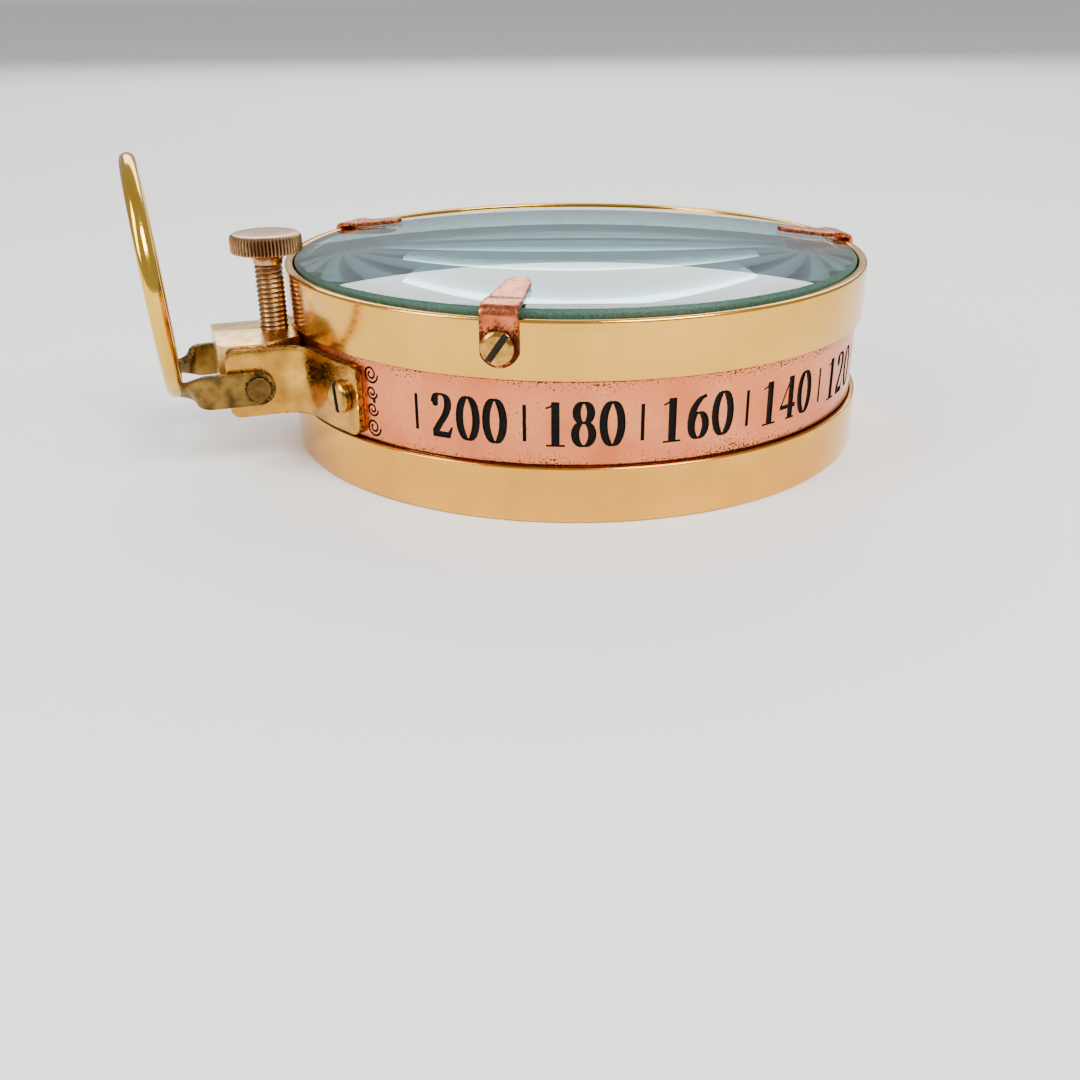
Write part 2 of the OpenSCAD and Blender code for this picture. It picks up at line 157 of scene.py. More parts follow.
def finish_mesh(name, verts, faces, uvs=None, sharp=30.0, materials=(), face_material=None):
    """Makes a mesh object from vertex, face and per-corner UV arrays, shaded smooth below an angle."""
    mesh = bpy.data.meshes.new(name)
    mesh.from_pydata(np.asarray(verts, float).tolist(), [], [list(map(int, f)) for f in faces])
    if uvs is not None:
        layer = mesh.uv_layers.new(name="surface_mm")
        layer.data.foreach_set("uv", np.asarray(uvs, np.float32).ravel())
    mesh.shade_smooth()
    mesh.set_sharp_from_angle(angle=radians(sharp))
    for mat in materials:
        mesh.materials.append(mat)
    if face_material is not None:
        mesh.polygons.foreach_set("material_index", np.asarray(face_material, np.int32))
    mesh.update()
    obj = bpy.data.objects.new(name, mesh)
    bpy.context.scene.collection.objects.link(obj)
    return obj


def grid_piece(name, points, uv, wrap_rows, wrap_columns, materials, sharp=30.0):
    """A surface from a rows x columns grid of points: quads between neighbours, wrapped where asked.
    uv holds millimetres for every grid line, one more than the points along a wrapped direction."""
    rows, columns = points.shape[:2]
    r = np.arange(rows if wrap_rows else rows - 1)
    c = np.arange(columns if wrap_columns else columns - 1)
    rr, cc = (a.ravel() for a in np.meshgrid(r, c, indexing="ij"))
    r2, c2 = (rr + 1) % rows, (cc + 1) % columns
    faces = np.stack([rr * columns + cc, rr * columns + c2, r2 * columns + c2, r2 * columns + cc], 1)
    corners = np.stack([uv[rr, cc], uv[rr, cc + 1], uv[rr + 1, cc + 1], uv[rr + 1, cc]], 1)
    return finish_mesh(name, points.reshape(-1, 3), faces, corners.reshape(-1, 2), sharp, materials)


def rounded(outline, radius):
    """Rounds the corners of a closed outline of (x, y): each corner becomes a quadratic curve of five
    points that starts and ends radius away from it, or a third of a side where that is less."""
    pts = np.asarray(outline, float)
    radii = np.broadcast_to(radius, len(pts))
    out = []
    for k, corner in enumerate(pts):
        before, after = pts[k - 1] - corner, pts[(k + 1) % len(pts)] - corner
        a, b = np.linalg.norm(before), np.linalg.norm(after)
        cut = min(radii[k], a / 3, b / 3)
        if cut <= 0:
            out.append(corner[None])
            continue
        t = np.linspace(0, 1, 5)[:, None]
        start, end = corner + before / a * cut, corner + after / b * cut
        out.append((1 - t) ** 2 * start + 2 * t * (1 - t) * corner + t ** 2 * end)
    return np.concatenate(out)


def turned_piece(name, outline, segments, materials):
    """A turned piece: a closed outline of (radius, height) in millimetres, counterclockwise, spun
    round the z axis. Points on the axis close into a pole when doubles are merged."""
    pts = np.asarray(outline, float)
    turn = np.linspace(0, 2 * pi, segments, endpoint=False)
    x = pts[None, :, 0] * np.cos(turn)[:, None]
    y = pts[None, :, 0] * np.sin(turn)[:, None]
    z = np.broadcast_to(pts[None, :, 1], x.shape)
    points = np.stack([x, y, z], -1) * MM
    ring = np.concatenate([pts, pts[:1]])
    along = np.concatenate([[0], np.cumsum(np.linalg.norm(np.diff(ring, axis=0), axis=1))])
    widest = pts[:, 0].max()
    turn_all = np.linspace(0, 2 * pi, segments + 1) * widest
    uv = np.stack(np.meshgrid(turn_all, along, indexing="ij"), -1)
    obj = grid_piece(name, points, uv, True, True, materials)
    weld(obj)
    return obj


def weld(obj, distance=1e-7):
    """Merges vertices that coincide and drops faces that have no area left."""
    work = bmesh.new()
    work.from_mesh(obj.data)
    bmesh.ops.remove_doubles(work, verts=work.verts, dist=distance)
    bmesh.ops.dissolve_degenerate(work, edges=work.edges, dist=distance)
    bmesh.ops.recalc_face_normals(work, faces=work.faces)
    work.to_mesh(obj.data)
    work.free()
    obj.data.update()


def in_mm(node):
    """Lowest and highest corners of a CAD node, in millimetres."""
    low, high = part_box(node)
    return np.array(low) / MM, np.array(high) / MM


cup_low, cup_high = in_mm("base_cup")
case_r = (cup_high[0] - cup_low[0]) / 2
band_low, band_high = in_mm("copper_band")
band_r = (band_high[0] - band_low[0]) / 2
lower_top = band_low[2] - 0.02
spigot_r = band_r - 0.6
cup_wall_in = 42.2
dial_ledge_in = 40.5
cup_floor = 1.6
dial_under = in_mm("dial_plate")[0][2]
lower_brass = turned_metal("polished_turned_brass", "#e4a640", "#b07c2c", 0.12)
cup = turned_piece("lower_case", rounded([
    (0, 0), (case_r, 0), (case_r, lower_top), (case_r - 0.75, lower_top),
    (case_r - 0.85, lower_top - 0.35), (spigot_r, lower_top - 0.35), (spigot_r, cup_high[2]),
    (cup_wall_in, cup_high[2]), (cup_wall_in, dial_under), (dial_ledge_in, dial_under),
    (dial_ledge_in, cup_floor), (0, cup_floor)],
    [0, 0.5, 0.45, 0.2, 0.1, 0.1, 0.1, 0.1, 0.1, 0.2, 0.4, 0]), 256, [lower_brass])
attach(cup, "case")
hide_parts("base_cup")

# ---------------------------------------------------------------------------
# Copper band: copper sheet wrapped round the wall between the two rings. A bearing scale in bold
# figures is cut into it and filled with black wax, with a small scroll beside each bracket flange.
def pen_stroke(line, pen):
    """The area of a broad-pen line: to either side of each point by |(a nx, b ny)| along the line's
    normal n, so upright parts come out 2a thick and level parts 2b."""
    p = np.asarray(line, float)
    heading = np.gradient(p, axis=0)
    n = np.stack([-heading[:, 1], heading[:, 0]], 1)
    n /= np.linalg.norm(n, axis=1)[:, None]
    half = np.hypot(pen[0] * n[:, 0], pen[1] * n[:, 1])[:, None]
    return np.concatenate([p + n * half, (p - n * half)[::-1]])


def smooth_line(points, steps=6):
    """A Catmull-Rom curve through a few points."""
    p = np.asarray(points, float)
    p = np.concatenate([[2 * p[0] - p[1]], p, [2 * p[-1] - p[-2]]])
    t = np.linspace(0, 1, steps, endpoint=False)[:, None]
    parts = [0.5 * (2 * p[i] + (p[i + 1] - p[i - 1]) * t
                    + (2 * p[i - 1] - 5 * p[i] + 4 * p[i + 1] - p[i + 2]) * t ** 2
                    + (3 * p[i] - 3 * p[i + 1] + p[i + 2] - p[i - 1]) * t ** 3)
             for i in range(1, len(p) - 2)]
    return np.concatenate(parts + [p[-2:-1]])


def oval(x, y, rx, ry, start, end, steps=14):
    """Points on an ellipse from one angle to another, in degrees."""
    a = np.radians(np.linspace(start, end, steps))
    return np.stack([x + rx * np.cos(a), y + ry * np.sin(a)], 1)


def bar(x0, y0, x1, y1):
    """A plain rectangle, for serifs and ticks."""
    return np.array([(x0, y0), (x1, y0), (x1, y1), (x0, y1)], float)


bold_pen = (0.088, 0.022)
fine_pen = (0.024, 0.02)


def figure(name):
    """The areas of one bold seriffed figure or letter in a box 0.58 wide and 1 high."""
    def bold(*points):
        return pen_stroke(smooth_line(points), bold_pen)

    def bowl(x, y, rx, ry):
        return [pen_stroke(oval(x, y, rx, ry, 85, 275), bold_pen),
                pen_stroke(oval(x, y, rx, ry, -95, 95), bold_pen)]

    def stem(x):
        return [bar(x - bold_pen[0], 0.02, x + bold_pen[0], 0.98)]

    def dot(x, y):
        return [oval(x, y, 0.075, 0.075, 0, 337.5, 16)]

    def foot(x0, x1, y=0.0):
        return [bar(x0, y, x1, y + 0.045)]

    if name == "0":
        return bowl(0.29, 0.5, 0.19, 0.47)
    if name == "1":
        return stem(0.3) + foot(0.1, 0.5) + [pen_stroke([(0.1, 0.84), (0.2, 0.88), (0.28, 0.97)],
                                                        fine_pen)]
    if name == "2":
        return [bold((0.1, 0.76), (0.15, 0.92), (0.27, 0.97), (0.4, 0.9), (0.43, 0.73),
                     (0.36, 0.52), (0.22, 0.3), (0.1, 0.1)),
                np.array([(0.05, 0), (0.47, 0), (0.54, 0.26), (0.5, 0.26), (0.42, 0.14),
                          (0.05, 0.14)])] + dot(0.13, 0.76)
    if name == "3":
        return [bold((0.1, 0.78), (0.15, 0.93), (0.27, 0.97), (0.39, 0.9), (0.41, 0.75),
                     (0.34, 0.6), (0.2, 0.53)),
                bold((0.2, 0.53), (0.36, 0.5), (0.45, 0.35), (0.43, 0.15), (0.3, 0.03),
                     (0.16, 0.04), (0.09, 0.15))] + dot(0.12, 0.78) + dot(0.12, 0.17)
    if name == "4":
        return stem(0.38) + foot(0.24, 0.52) + [bar(0.03, 0.25, 0.55, 0.35), pen_stroke(
            [(0.36, 0.95), (0.2, 0.62), (0.05, 0.3)], fine_pen)]
    if name == "5":
        return [bar(0.13, 0.85, 0.48, 0.98), pen_stroke([(0.15, 0.95), (0.12, 0.56)], fine_pen),
                bold((0.12, 0.56), (0.26, 0.61), (0.41, 0.52), (0.46, 0.33), (0.4, 0.12),
                     (0.25, 0.03), (0.14, 0.05), (0.09, 0.14))] + dot(0.12, 0.16)
    if name == "6":
        return bowl(0.3, 0.31, 0.17, 0.28) + [bold((0.47, 0.96), (0.32, 0.88), (0.18, 0.68),
                                                   (0.13, 0.42), (0.14, 0.28))]
    if name == "7":
        return [bar(0.07, 0.85, 0.52, 0.98), bar(0.06, 0.72, 0.1, 0.98),
                bold((0.47, 0.88), (0.36, 0.62), (0.28, 0.34), (0.26, 0.04))]
    if name == "8":
        return bowl(0.29, 0.75, 0.15, 0.22) + bowl(0.29, 0.28, 0.18, 0.26)
    if name == "9":
        return [np.array([(0.58, 1.0)]) - area for area in figure("6")]
    if name == "N":
        return [bar(0.08, 0, 0.14, 1), bar(0.46, 0, 0.52, 1), np.array(
            [(0.04, 1), (0.2, 1), (0.52, 0.1), (0.52, 0), (0.42, 0)])] + foot(0, 0.24) + foot(
                0.36, 0.6, 0.955)
    if name == "E":
        return stem(0.14) + [bar(0.05, 0, 0.5, 0.05), bar(0.05, 0.95, 0.5, 1),
                             bar(0.14, 0.48, 0.4, 0.53), bar(0.46, 0, 0.5, 0.24),
                             bar(0.46, 0.76, 0.5, 1)]
    if name == "S":
        return [bold((0.45, 0.78), (0.36, 0.95), (0.22, 0.96), (0.13, 0.8), (0.2, 0.6),
                     (0.38, 0.42), (0.46, 0.22), (0.36, 0.05), (0.2, 0.04), (0.11, 0.2))]
    return [pen_stroke([(0.08, 1), (0.2, 0.02)], bold_pen), pen_stroke([(0.4, 0.02), (0.52, 1)], fine_pen),
            pen_stroke([(0.32, 1), (0.42, 0.02)], bold_pen), pen_stroke([(0.2, 0.02), (0.32, 0.9)], fine_pen)]


letter_spacing = 0.6


def written(word, height, x, y):
    """The areas of a word, height high, centred on x with its feet at y."""
    start = x - height * (letter_spacing * len(word) - 0.02) / 2
    return [area * height + (start + height * letter_spacing * k, y)
            for k, letter in enumerate(word) for area in figure(letter)]


def covered(points, area):
    """Which points lie in an area: its outline winds round them a number of times that isn't 0."""
    turns = np.zeros(len(points), int)
    for (x0, y0), (x1, y1) in zip(area, np.roll(area, -1, axis=0)):
        side = (x1 - x0) * (points[:, 1] - y0) - (points[:, 0] - x0) * (y1 - y0)
        turns += (y0 <= points[:, 1]) & (y1 > points[:, 1]) & (side > 0)
        turns -= (y0 > points[:, 1]) & (y1 <= points[:, 1]) & (side < 0)
    return turns != 0


def cut_sheet(points, edges, areas):
    """Triangles that follow the given points and edges and the outlines of the areas. Returns the
    flat points, the triangles, and for each triangle the number of the last area over it, or -1."""
    points, edges = [tuple(p) for p in points], list(edges)
    for area in areas:
        at = len(points)
        points += [tuple(p) for p in area]
        edges += [(at + k, at + (k + 1) % len(area)) for k in range(len(area))]
    out = delaunay_2d_cdt([Vector(p) for p in points], edges, [], 0, 1e-5)
    flat, triangles = np.array([tuple(v) for v in out[0]]), np.array(out[2])
    middle = flat[triangles].mean(axis=1)
    owner = np.full(len(triangles), -1)
    for k, area in enumerate(areas):
        near = np.flatnonzero(((middle >= area.min(0)) & (middle <= area.max(0))).all(axis=1))
        owner[near[covered(middle[near], area)]] = k
    return flat, triangles, owner


scale_bearings = range(0, 360, 20)
figure_mm = 6.2
figure_foot = 2.7
cut_depth = 0.25
line_every = radians(2) * band_r
bracket_joint = next(j for j in frame["joints"] if j["name"] == "thumb_ring_hinge")
bracket_angle = atan2(bracket_joint["pos_m"][1], bracket_joint["pos_m"][0])
flange_half = radians(29.3)
band_height = band_high[2] - band_low[2]
around = 2 * pi * band_r


def band_place(angle):
    """Distance along the band, in millimetres, of an azimuth; it starts behind the bracket."""
    return (angle - bracket_angle) % (2 * pi) * band_r


band_areas = []
for bearing in scale_bearings:
    middle = band_place(radians(90 - bearing))
    clear = (flange_half + radians(11.5)) * band_r
    if clear < middle < around - clear:
        band_areas += written(f"{bearing:03d}", figure_mm, middle, figure_foot)
for bearing in range(10, 360, 20):
    middle = band_place(radians(90 - bearing))
    clear = (flange_half + radians(8)) * band_r
    if clear < middle < around - clear:
        band_areas.append(bar(middle - 0.25, figure_foot + 0.6, middle + 0.25,
                              figure_foot + figure_mm - 0.6))


scroll_pen = (0.16, 0.16)


def scroll(x, y, size, turns, facing):
    """A spiral hook: a line that winds in to its centre, drawn with a round pen."""
    a = np.linspace(0, 2 * pi * turns, int(20 * turns))
    r = size * (1 - 0.78 * a / a[-1])
    line = np.stack([x + facing * r * np.cos(a + pi), y + r * np.sin(a + pi)], 1)
    half = len(line) // 2
    return [pen_stroke(line[:half + 1], scroll_pen), pen_stroke(line[half:], scroll_pen)]


for sign in (1, -1):
    x = band_place(bracket_angle + sign * (flange_half + radians(2.1)))
    for y, size, turns in ((9.6, 1.35, 1.7), (7.0, 1.05, 1.5), (4.6, 1.05, 1.5), (2.0, 1.35, 1.7)):
        band_areas += scroll(x + sign * 0.2, y, size, turns, -sign)
    band_areas.append(oval(x + sign * 0.6, 5.8, 0.3, 0.3, 0, 315, 8))

upright = np.linspace(0, around, int(round(around / line_every)) + 1)
frame_points = np.stack([np.repeat(upright, 2), np.tile([0.0, band_height], len(upright))], 1)
frame_edges = [(k, k + step) for k in range(len(frame_points)) for step in (1, 2)
               if k + step < len(frame_points) and (step == 2 or k % 2 == 0)]
flat, triangles, owner = cut_sheet(frame_points, frame_edges, band_areas)
cut = owner >= 0


def wrapped(flat_points, radius, foot):
    """Bends flat points (distance, height) round the case at a radius, from behind the bracket."""
    a = bracket_angle + flat_points[:, 0] / band_r
    return np.stack([radius * np.cos(a), radius * np.sin(a), foot + flat_points[:, 1]], 1) * MM


def make_copper_band():
    """Builds the band: its face with sunk floors under the cut areas, walls round them, and a plain
    back. The face's corners carry radial normals, so the triangles don't show."""
    count = len(flat)
    floor_faces = triangles[cut] + count
    sides = {}
    for k, tri in enumerate(triangles):
        for i in range(3):
            sides.setdefault(frozenset((tri[i], tri[(i + 1) % 3])), []).append((k, tri[i], tri[(i + 1) % 3]))
    walls = [(a, b, b + count, a + count) if not cut[k] else (b, a, a + count, b + count)
             for owners in sides.values() if len(owners) == 2 and cut[owners[0][0]] != cut[owners[1][0]]
             for k, a, b in owners[:1]]
    low = np.flatnonzero(flat[:, 1] < 1e-4)
    high = np.flatnonzero(flat[:, 1] > band_height - 1e-4)
    low, high = (edge[np.argsort(flat[edge, 0])] for edge in (low, high))
    back = flat[np.concatenate([low, high])]
    inner_low = 2 * count + np.arange(len(low))
    inner_high = 2 * count + len(low) + np.arange(len(high))
    strip = lambda a, b: np.stack([a[:-1], a[1:], b[1:], b[:-1]], 1).tolist()
    verts = np.concatenate([wrapped(flat, band_r, band_low[2]),
                            wrapped(flat, band_r - cut_depth, band_low[2]),
                            wrapped(back, spigot_r + 0.02, band_low[2])])
    faces = (triangles[~cut].tolist() + floor_faces.tolist() + walls + strip(low, inner_low)
             + strip(inner_high, high) + strip(inner_low, inner_high))
    ink = np.zeros(len(faces), int)
    ink[int((~cut).sum()):int((~cut).sum()) + len(floor_faces) + len(walls)] = 1
    spot = np.concatenate([flat, flat, back])
    corners = np.concatenate([spot[list(f)] for f in faces])
    obj = finish_mesh("engraved_copper_band", verts, faces, corners, 30, [copper_sheet, black_wax], ink)
    mesh = obj.data
    loop_vertex = np.zeros(len(mesh.loops), np.int32)
    mesh.loops.foreach_get("vertex_index", loop_vertex)
    round_corners = 3 * len(triangles)
    place = verts[loop_vertex[:round_corners]]
    radial = place * (1, 1, 0) / np.linalg.norm(place[:, :2], axis=1)[:, None]
    normals = np.array([c.vector for c in mesh.corner_normals])
    normals[:round_corners] = radial
    mesh.normals_split_custom_set(normals.tolist())
    return obj


# Rolled copper with a pink polish: dark pits and specks gather towards the band's two edges.
copper_sheet, tree, shader = new_material("rolled_copper_pitted")
uv = add_node(tree, "ShaderNodeUVMap", uv_map="surface_mm")
split = add_node(tree, "ShaderNodeSeparateXYZ", {"Vector": uv.outputs["UV"]})
from_middle = add_node(tree, "ShaderNodeMath", {0: split.outputs["Y"]}, operation="SUBTRACT",
                       inputs={1: band_height / 2})
to_edge = add_node(tree, "ShaderNodeMath", {0: from_middle.outputs["Value"]}, operation="ABSOLUTE")
edge_share = add_node(tree, "ShaderNodeMapRange", {"Value": to_edge.outputs["Value"]},
                      inputs={"From Min": band_height * 0.3, "From Max": band_height * 0.5,
                              "To Min": 0.0, "To Max": 0.13})
speck_mm = 0.35
specks = add_node(tree, "ShaderNodeTexNoise", {"Vector": uv.outputs["UV"]},
                  inputs={"Scale": 1 / speck_mm, "Detail": 3.0, "Roughness": 0.75})
patch_mm = 9.0
patches = add_node(tree, "ShaderNodeTexNoise", {"Vector": uv.outputs["UV"]},
                   inputs={"Scale": 1 / patch_mm, "Detail": 3.0})
patch_push = add_node(tree, "ShaderNodeMapRange", {"Value": patches.outputs["Fac"]},
                      inputs={"From Min": 0.35, "From Max": 0.7, "To Min": -0.05, "To Max": 0.09})
crowd = add_node(tree, "ShaderNodeMath", {0: edge_share.outputs["Result"],
                                          1: patch_push.outputs["Result"]}, operation="ADD")
cut_edge = add_node(tree, "ShaderNodeMapRange", {"Value": to_edge.outputs["Value"]},
                    inputs={"From Min": band_height / 2 - 0.3, "From Max": band_height / 2 - 0.1,
                            "To Min": 0.0, "To Max": 0.35})
edge_crowd = add_node(tree, "ShaderNodeMath", {0: crowd.outputs["Value"],
                                               1: cut_edge.outputs["Result"]}, operation="ADD")
speck_level = add_node(tree, "ShaderNodeMath", {0: specks.outputs["Fac"],
                                                1: edge_crowd.outputs["Value"]}, operation="ADD")
speck_mask = ramp(tree, speck_level.outputs["Value"], [(0.66, (0, 0, 0)), (0.74, (1, 1, 1))])
tone = ramp(tree, patches.outputs["Fac"], [(0.35, linear("#d87246")), (0.65, linear("#ea8e5e"))])
speckled = add_node(tree, "ShaderNodeMix", {"Factor": speck_mask.outputs["Color"],
                                            "A": tone.outputs["Color"]}, data_type="RGBA")
speckled.inputs["B"].default_value = linear("#3c1a10")
tree.links.new(speckled.outputs["Result"], shader.inputs["Base Color"])
copper_rough = add_node(tree, "ShaderNodeMapRange", {"Value": speck_mask.outputs["Color"]},
                        inputs={"To Min": 0.24, "To Max": 0.6})
tree.links.new(copper_rough.outputs["Result"], shader.inputs["Roughness"])
pit_height = add_node(tree, "ShaderNodeMath", {0: speck_mask.outputs["Color"]}, operation="MULTIPLY",
                      inputs={1: -1.0})
pits = add_node(tree, "ShaderNodeBump", {"Height": pit_height.outputs["Value"]},
                inputs={"Strength": 1.0, "Distance": 0.03 * MM})
tree.links.new(pits.outputs["Normal"], shader.inputs["Normal"])
shader.inputs["Metallic"].default_value = 1.0


def mottled(name, grain_mm, tones, roughness, detail=3.0, span=(0.3, 0.7)):
    """A material whose colour wanders between two tones in soft grains of about grain_mm. Returns
    it, its tree, its shader and the noise, which a bump may use too."""
    mat, tree, shader = new_material(name)
    place = add_node(tree, "ShaderNodeTexCoord")
    grain = add_node(tree, "ShaderNodeTexNoise", {"Vector": place.outputs["Object"]},
                     inputs={"Scale": 1 / (grain_mm * MM), "Detail": detail})
    tone = ramp(tree, grain.outputs["Fac"], list(zip(span, tones)))
    tree.links.new(tone.outputs["Color"], shader.inputs["Base Color"])
    shader.inputs["Roughness"].default_value = roughness
    return mat, tree, shader, grain


# Black wax rubbed into the cuts: nearly black, with a dull, slightly uneven face.
black_wax, _, shader, _ = mottled("black_engraving_wax", 0.6, (linear("#070606"), linear("#14110f")), 0.85)
shader.inputs["Specular IOR Level"].default_value = 0.12
copper_band = make_copper_band()
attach(copper_band, "case")
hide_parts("copper_band")

# ---------------------------------------------------------------------------
# Upper ring: a brass ring turned with a thin round-edged rim and a ledge inside for the lens. It is
# finished with fine emery on the lathe, so it is a little more satin than the base.
ring_low, ring_high = in_mm("upper_ring")
rim_in = case_r - 1.3
seat_in = 41.0
seat_height = 22.4
upper_brass = turned_metal("emery_finished_brass", "#e9ae46", "#b98732", 0.16, line_mm=0.3,
                           line_depth=0.003)
# Flat black lacquer in the bore under the lens, brushed on by hand.
black_lacquer = mottled("black_bore_lacquer", 0.9, (linear("#141414"), linear("#26262a")), 0.6)[0]
upper = turned_piece("upper_ring_bezel", rounded([
    (seat_in, ring_low[2]), (case_r, ring_low[2]), (case_r, ring_high[2]), (rim_in, ring_high[2]),
    (rim_in, seat_height), (seat_in, seat_height)],
    [0.1, 0.3, 0.6, 0.35, 0, 0.1]), 256, [upper_brass, black_lacquer])
hidden = [1 if np.hypot(p.center.x, p.center.y) < (seat_in + 0.05) * MM else 0
          for p in upper.data.polygons]
upper.data.polygons.foreach_set("material_index", hidden)
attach(upper, "case")
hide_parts("upper_ring")

# ---------------------------------------------------------------------------
# Magnifier: a thick plano-convex lens of greenish crown glass, polished on both faces. Its edge and
# its narrow bevel are ground, which leaves them dull and dark green.
lens_lean = radians(0.9)
lens_r = rim_in - 0.25
lens_seat_depth = 4.2
lens_foot = ring_high[2] - lens_seat_depth
lens_edge = 4.0
lens_bevel = 0.5
lens_rise = 3.0
dome_edge = lens_r - lens_bevel
dome_r = (dome_edge ** 2 + lens_rise ** 2) / (2 * lens_rise)
dome_foot = lens_edge + lens_bevel
dome = [(dome_r * sin(a), dome_foot + lens_rise - dome_r * (1 - cos(a)))
        for a in np.linspace(np.arcsin(dome_edge / dome_r), 0, 40)]

# Crown glass with a faint sea-green tint: clear, glossy, IOR 1.52.
crown_glass, _, shader, _ = mottled("crown_glass", 30, (linear("#a6dbe2"), linear("#b0e1e8")), 0.0, 2.0)
shader.inputs["Transmission Weight"].default_value = 1.0
shader.inputs["IOR"].default_value = 1.52

# The same glass where it is ground: light scatters in the pits, so it reads as dark bottle green.
grit_mm = 0.25
ground_glass, tree, shader, grit = mottled("ground_glass_edge", grit_mm,
                                           (linear("#1f3a30"), linear("#3f6555")), 0.38, 4.0)
grit_bump = add_node(tree, "ShaderNodeBump", {"Height": grit.outputs["Fac"]},
                     inputs={"Strength": 0.6, "Distance": 0.01 * MM})
tree.links.new(grit_bump.outputs["Normal"], shader.inputs["Normal"])

lens = turned_piece("domed_magnifier", [(0, 0), (lens_r, 0), (lens_r, lens_edge), *dome],
                    256, [crown_glass, ground_glass])
ground = [1 if (dome_edge - 0.05) * MM < np.hypot(p.center.x, p.center.y) else 0
          for p in lens.data.polygons]
lens.data.polygons.foreach_set("material_index", ground)
lens.data.transform(Matrix.Translation((0, 0, lens_foot * MM)) @ Matrix.Rotation(-lens_lean, 4, "X"))
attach(lens, "case")
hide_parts("magnifier_lens")

# ---------------------------------------------------------------------------
# Dial: a white enamelled disc, printed in black with a compass rose, a degree ring and figures, and
# with a red north mark. Two screws hold it, and the spacer ring presses on its edge.
dial_low, dial_high = in_mm("dial_plate")
dial_r = (dial_high[0] - dial_low[0]) / 2
dial_face = dial_high[2]
dial_hole = 4.2
white_enamel = mottled("white_dial_enamel", 4, (linear("#eceae2"), linear("#f6f5ef")), 0.3, 4.0)[0]


def printed_ink(name, code):
    """Thin glossy printing ink, slightly mottled where it lies thinner."""
    base = np.array(linear(code)[:3])
    return mottled(name, 0.8, (tuple(base), tuple(base * 1.25 + 0.004)), 0.35, span=(0.3, 0.75))[0]


def dial_point(angle, radius):
    """A point on the dial at a bearing, in radians clockwise from north."""
    return np.array([radius * sin(angle), radius * cos(angle)])


def turned_word(word, height, bearing, radius):
    """A word with its feet towards the dial's centre, centred at a bearing and radius."""
    a = radians(bearing)
    turn = np.array([[cos(a), -sin(a)], [sin(a), cos(a)]])
    return [area @ turn + dial_point(a, radius) for area in written(word, height, 0, -height / 2)]


def dial_areas():
    """The printed areas of the dial, each with its colour: 1 black, 2 red."""
    areas = []
    for degree in range(0, 360, 2):
        a, half = radians(degree), 0.16 if degree % 10 else 0.26
        inner = 38.4 if degree % 10 else 37.2
        side = np.array([cos(a), -sin(a)]) * half
        areas.append((1, np.array([dial_point(a, inner) - side, dial_point(a, inner) + side,
                                   dial_point(a, 40.0) + side, dial_point(a, 40.0) - side])))
    for bearing in range(30, 360, 30):
        if bearing % 90:
            areas += [(1, area) for area in turned_word(str(bearing), 3.4, bearing, 34.0)]
    for bearing, letter in ((0, "N"), (90, "E"), (180, "S"), (270, "W")):
        areas += [(2 if letter == "N" else 1, area) for area in turned_word(letter, 6.0, bearing, 32.5)]
    for k in range(16):
        reach = (27.5, 16.0, 21.5, 16.0)[k % 4]
        a = 2 * pi * k / 16
        for side in (1, -1):
            valley = dial_point(a + side * pi / 16, 8.4)
            tip = dial_point(a, reach)
            if side > 0:
                areas.append((1, np.array([dial_point(a, 5.2), valley, tip])))
            else:
                edge = dial_point(a, 5.2)
                for p, q in ((valley, tip), (edge, valley)):
                    along = (q - p) / np.linalg.norm(q - p)
                    across = np.array([-along[1], along[0]]) * 0.09
                    areas.append((1, np.array([p - across, p + across, q + across, q - across])))
    areas.append((2, np.array([dial_point(0, 36.6), dial_point(0.035, 40.6), dial_point(-0.035, 40.6)])))
    return areas


def make_dial():
    """Builds the dial: its printed face as triangles that follow the printing, then its edge, its
    hole and its back as rings."""
    rim = oval(0, 0, dial_r, dial_r, 0, 360 - 360 / 180, 180)
    hole = oval(0, 0, dial_hole, dial_hole, 0, 360 - 360 / 48, 48)
    printed = dial_areas()
    loops = [(k, (k + 1) % len(rim)) for k in range(len(rim))]
    loops += [(len(rim) + k, len(rim) + (k + 1) % len(hole)) for k in range(len(hole))]
    spots, tris, owner = cut_sheet(np.concatenate([rim, hole]), loops, [area for _, area in printed])
    reach = np.hypot(*spots[tris].mean(axis=1).T)
    keep = reach > dial_hole
    ink_of = np.array([colour for colour, _ in printed] + [0])
    tris, colour = tris[keep], ink_of[owner[keep]]
    count = len(spots)
    verts = np.concatenate([np.c_[spots, np.full(count, dial_face)],
                            np.c_[rim, np.full(len(rim), dial_low[2])],
                            np.c_[hole, np.full(len(hole), dial_low[2])]])
    find = lambda p: int(np.argmin(np.hypot(*(spots - p).T)))
    top_rim, top_hole = [find(p) for p in rim], [find(p) for p in hole]
    low_rim = count + np.arange(len(rim))
    low_hole = count + len(rim) + np.arange(len(hole))
    sides = [(a, b, c, d) for ring, low in ((top_rim, low_rim), (top_hole[::-1], low_hole[::-1]))
             for a, b, c, d in zip(low, np.roll(low, -1), np.roll(ring, -1), ring)]
    flat_back, under, _ = cut_sheet(np.concatenate([rim, hole]), loops, [])
    under = under[np.hypot(*flat_back[under].mean(axis=1).T) > dial_hole][:, ::-1] + count
    under = under.tolist()
    faces = tris.tolist() + sides + under
    index = colour.tolist() + [0] * (len(sides) + len(under))
    return finish_mesh("printed_dial", verts * MM, faces, None, 30,
                       [white_enamel, printed_ink("black_printing_ink", "#0d0d10"),
                        printed_ink("red_printing_ink", "#b3202a")], index)


dial = make_dial()
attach(dial, "case")
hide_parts("dial_plate")

